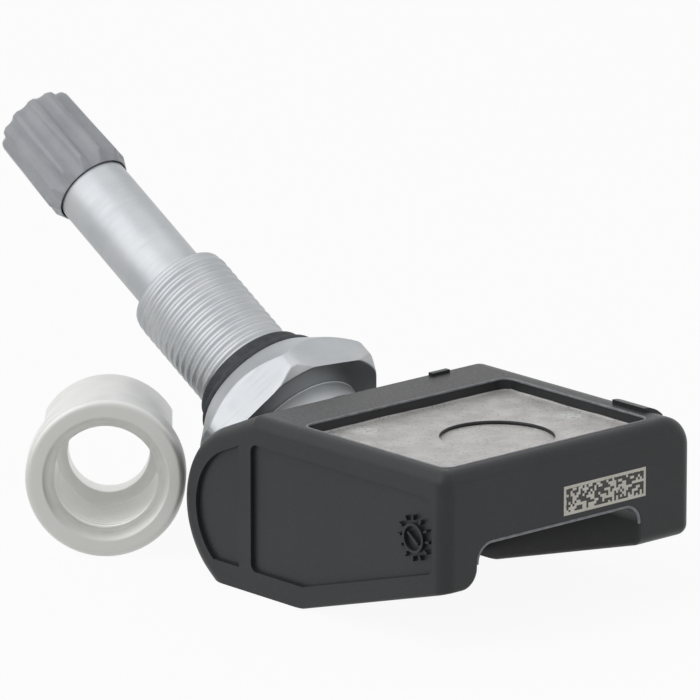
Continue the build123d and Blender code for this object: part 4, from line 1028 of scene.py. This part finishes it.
class SENSOR_OT_stage(bpy.types.Operator):
    """Pale floor, soft studio light and the camera"""

    bl_idname = "tyre_sensor.stage"
    bl_label = "Stage"

    def execute(self, context):
        scene = context.scene
        scene.view_settings.view_transform = "Standard"
        camera = bpy.data.cameras.new("camera")
        camera.sensor_width = 36.0
        camera.lens = CAMERA_LENS
        camera.clip_end = 50.0
        view = bpy.data.objects.new("camera", camera)
        view.location = CAMERA_PLACE
        view.rotation_euler = Euler((math.pi / 2 - CAMERA_DOWN, 0, CAMERA_HEADING))
        scene.collection.objects.link(view)
        scene.camera = view

        mesh = bpy.data.meshes.new("floor")
        low = cad_box[0][2] - 0.02 * MM
        corners = ((-1, -1), (1, -1), (1, 1), (-1, 1))
        mesh.from_pydata([(FLOOR_HALF * x, FLOOR_HALF * y, low) for x, y in corners], [], [(0, 1, 2, 3)])
        floor = bpy.data.objects.new("floor", mesh)
        scene.collection.objects.link(floor)
        # white paper: seen by the camera and in metal as white, with the shadow laid softly over it
        paper = bpy.data.materials.new("white_paper")
        paper.use_nodes = True
        tree = paper.node_tree
        tree.nodes.clear()
        share = number_math(tree, "MULTIPLY", seen_rays(tree), FLOOR_WHITE)
        lit = add_node(tree, "ShaderNodeBsdfDiffuse", {"Color": opaque(linear("#f4f4f2"))})
        white = add_node(tree, "ShaderNodeEmission", {"Color": (1, 1, 1, 1), "Strength": 1.0})
        mixed = seen_and_lit(tree, share, lit, white)
        add_node(tree, "ShaderNodeOutputMaterial", {"Surface": mixed})
        mesh.materials.append(paper)

        world = bpy.data.worlds.new("studio")
        scene.world = world
        world.use_nodes = True
        tree = world.node_tree
        tree.nodes.clear()
        white = add_node(tree, "ShaderNodeBackground", {"Color": (1, 1, 1, 1), "Strength": 1.0})
        room = add_node(tree, "ShaderNodeBackground", {"Color": (0.97, 0.985, 1, 1), "Strength": ROOM_LIGHT})
        mixed = seen_and_lit(tree, seen_rays(tree), room, white)
        add_node(tree, "ShaderNodeOutputWorld", {"Surface": mixed})

        middle = (Vector(cad_box[0]) + Vector(cad_box[1])) / 2
        for name, place, width, power in SOFTBOXES:
            lamp = bpy.data.lights.new(name, "AREA")
            lamp.shape = "SQUARE"
            lamp.size = width
            lamp.energy = power
            box = bpy.data.objects.new(name, lamp)
            box.location = middle + Vector(place)
            box.rotation_euler = (-Vector(place)).to_track_quat("-Z", "Y").to_euler()
            scene.collection.objects.link(box)
        return {"FINISHED"}


PIECES = (SENSOR_OT_housing, SENSOR_OT_potting, SENSOR_OT_valve_base, SENSOR_OT_valve_shank,
          SENSOR_OT_seals, SENSOR_OT_valve_cap, SENSOR_OT_collar_nut, SENSOR_OT_core_spring,
          SENSOR_OT_inner_parts, SENSOR_OT_stage)


class SENSOR_PT_panel(bpy.types.Panel):
    """Buttons for each piece, and the settings"""

    bl_idname = "SENSOR_PT_panel"
    bl_label = "Tyre pressure sensor"
    bl_space_type = "VIEW_3D"
    bl_region_type = "UI"
    bl_category = "Sensor"

    def draw(self, context):
        for piece in PIECES:
            self.layout.operator(piece.bl_idname)
        chosen = context.scene.tyre_sensor
        for group in (chosen.sizes, chosen.colours):
            for name in group.bl_rna.properties.keys():
                if name not in ("name", "rna_type"):
                    self.layout.prop(group, name)


CLASSES = (SensorSizes, SensorColours, SensorSettings, *PIECES, SENSOR_PT_panel)


def register():
    for kind in CLASSES:
        bpy.utils.register_class(kind)
    bpy.types.Scene.tyre_sensor = bpy.props.PointerProperty(
        name="Tyre pressure sensor", description="Sizes and colours of the sensor", type=SensorSettings)


def unregister():
    del bpy.types.Scene.tyre_sensor
    for kind in reversed(CLASSES):
        bpy.utils.unregister_class(kind)


def main():
    register()
    bpy.ops.tyre_sensor.housing()
    bpy.ops.tyre_sensor.potting()
    bpy.ops.tyre_sensor.valve_base()
    bpy.ops.tyre_sensor.valve_shank()
    bpy.ops.tyre_sensor.seals()
    bpy.ops.tyre_sensor.valve_cap()
    bpy.ops.tyre_sensor.collar_nut()
    bpy.ops.tyre_sensor.core_spring()
    bpy.ops.tyre_sensor.inner_parts()
    bpy.ops.tyre_sensor.stage()


if __name__ == "__main__":
    main()
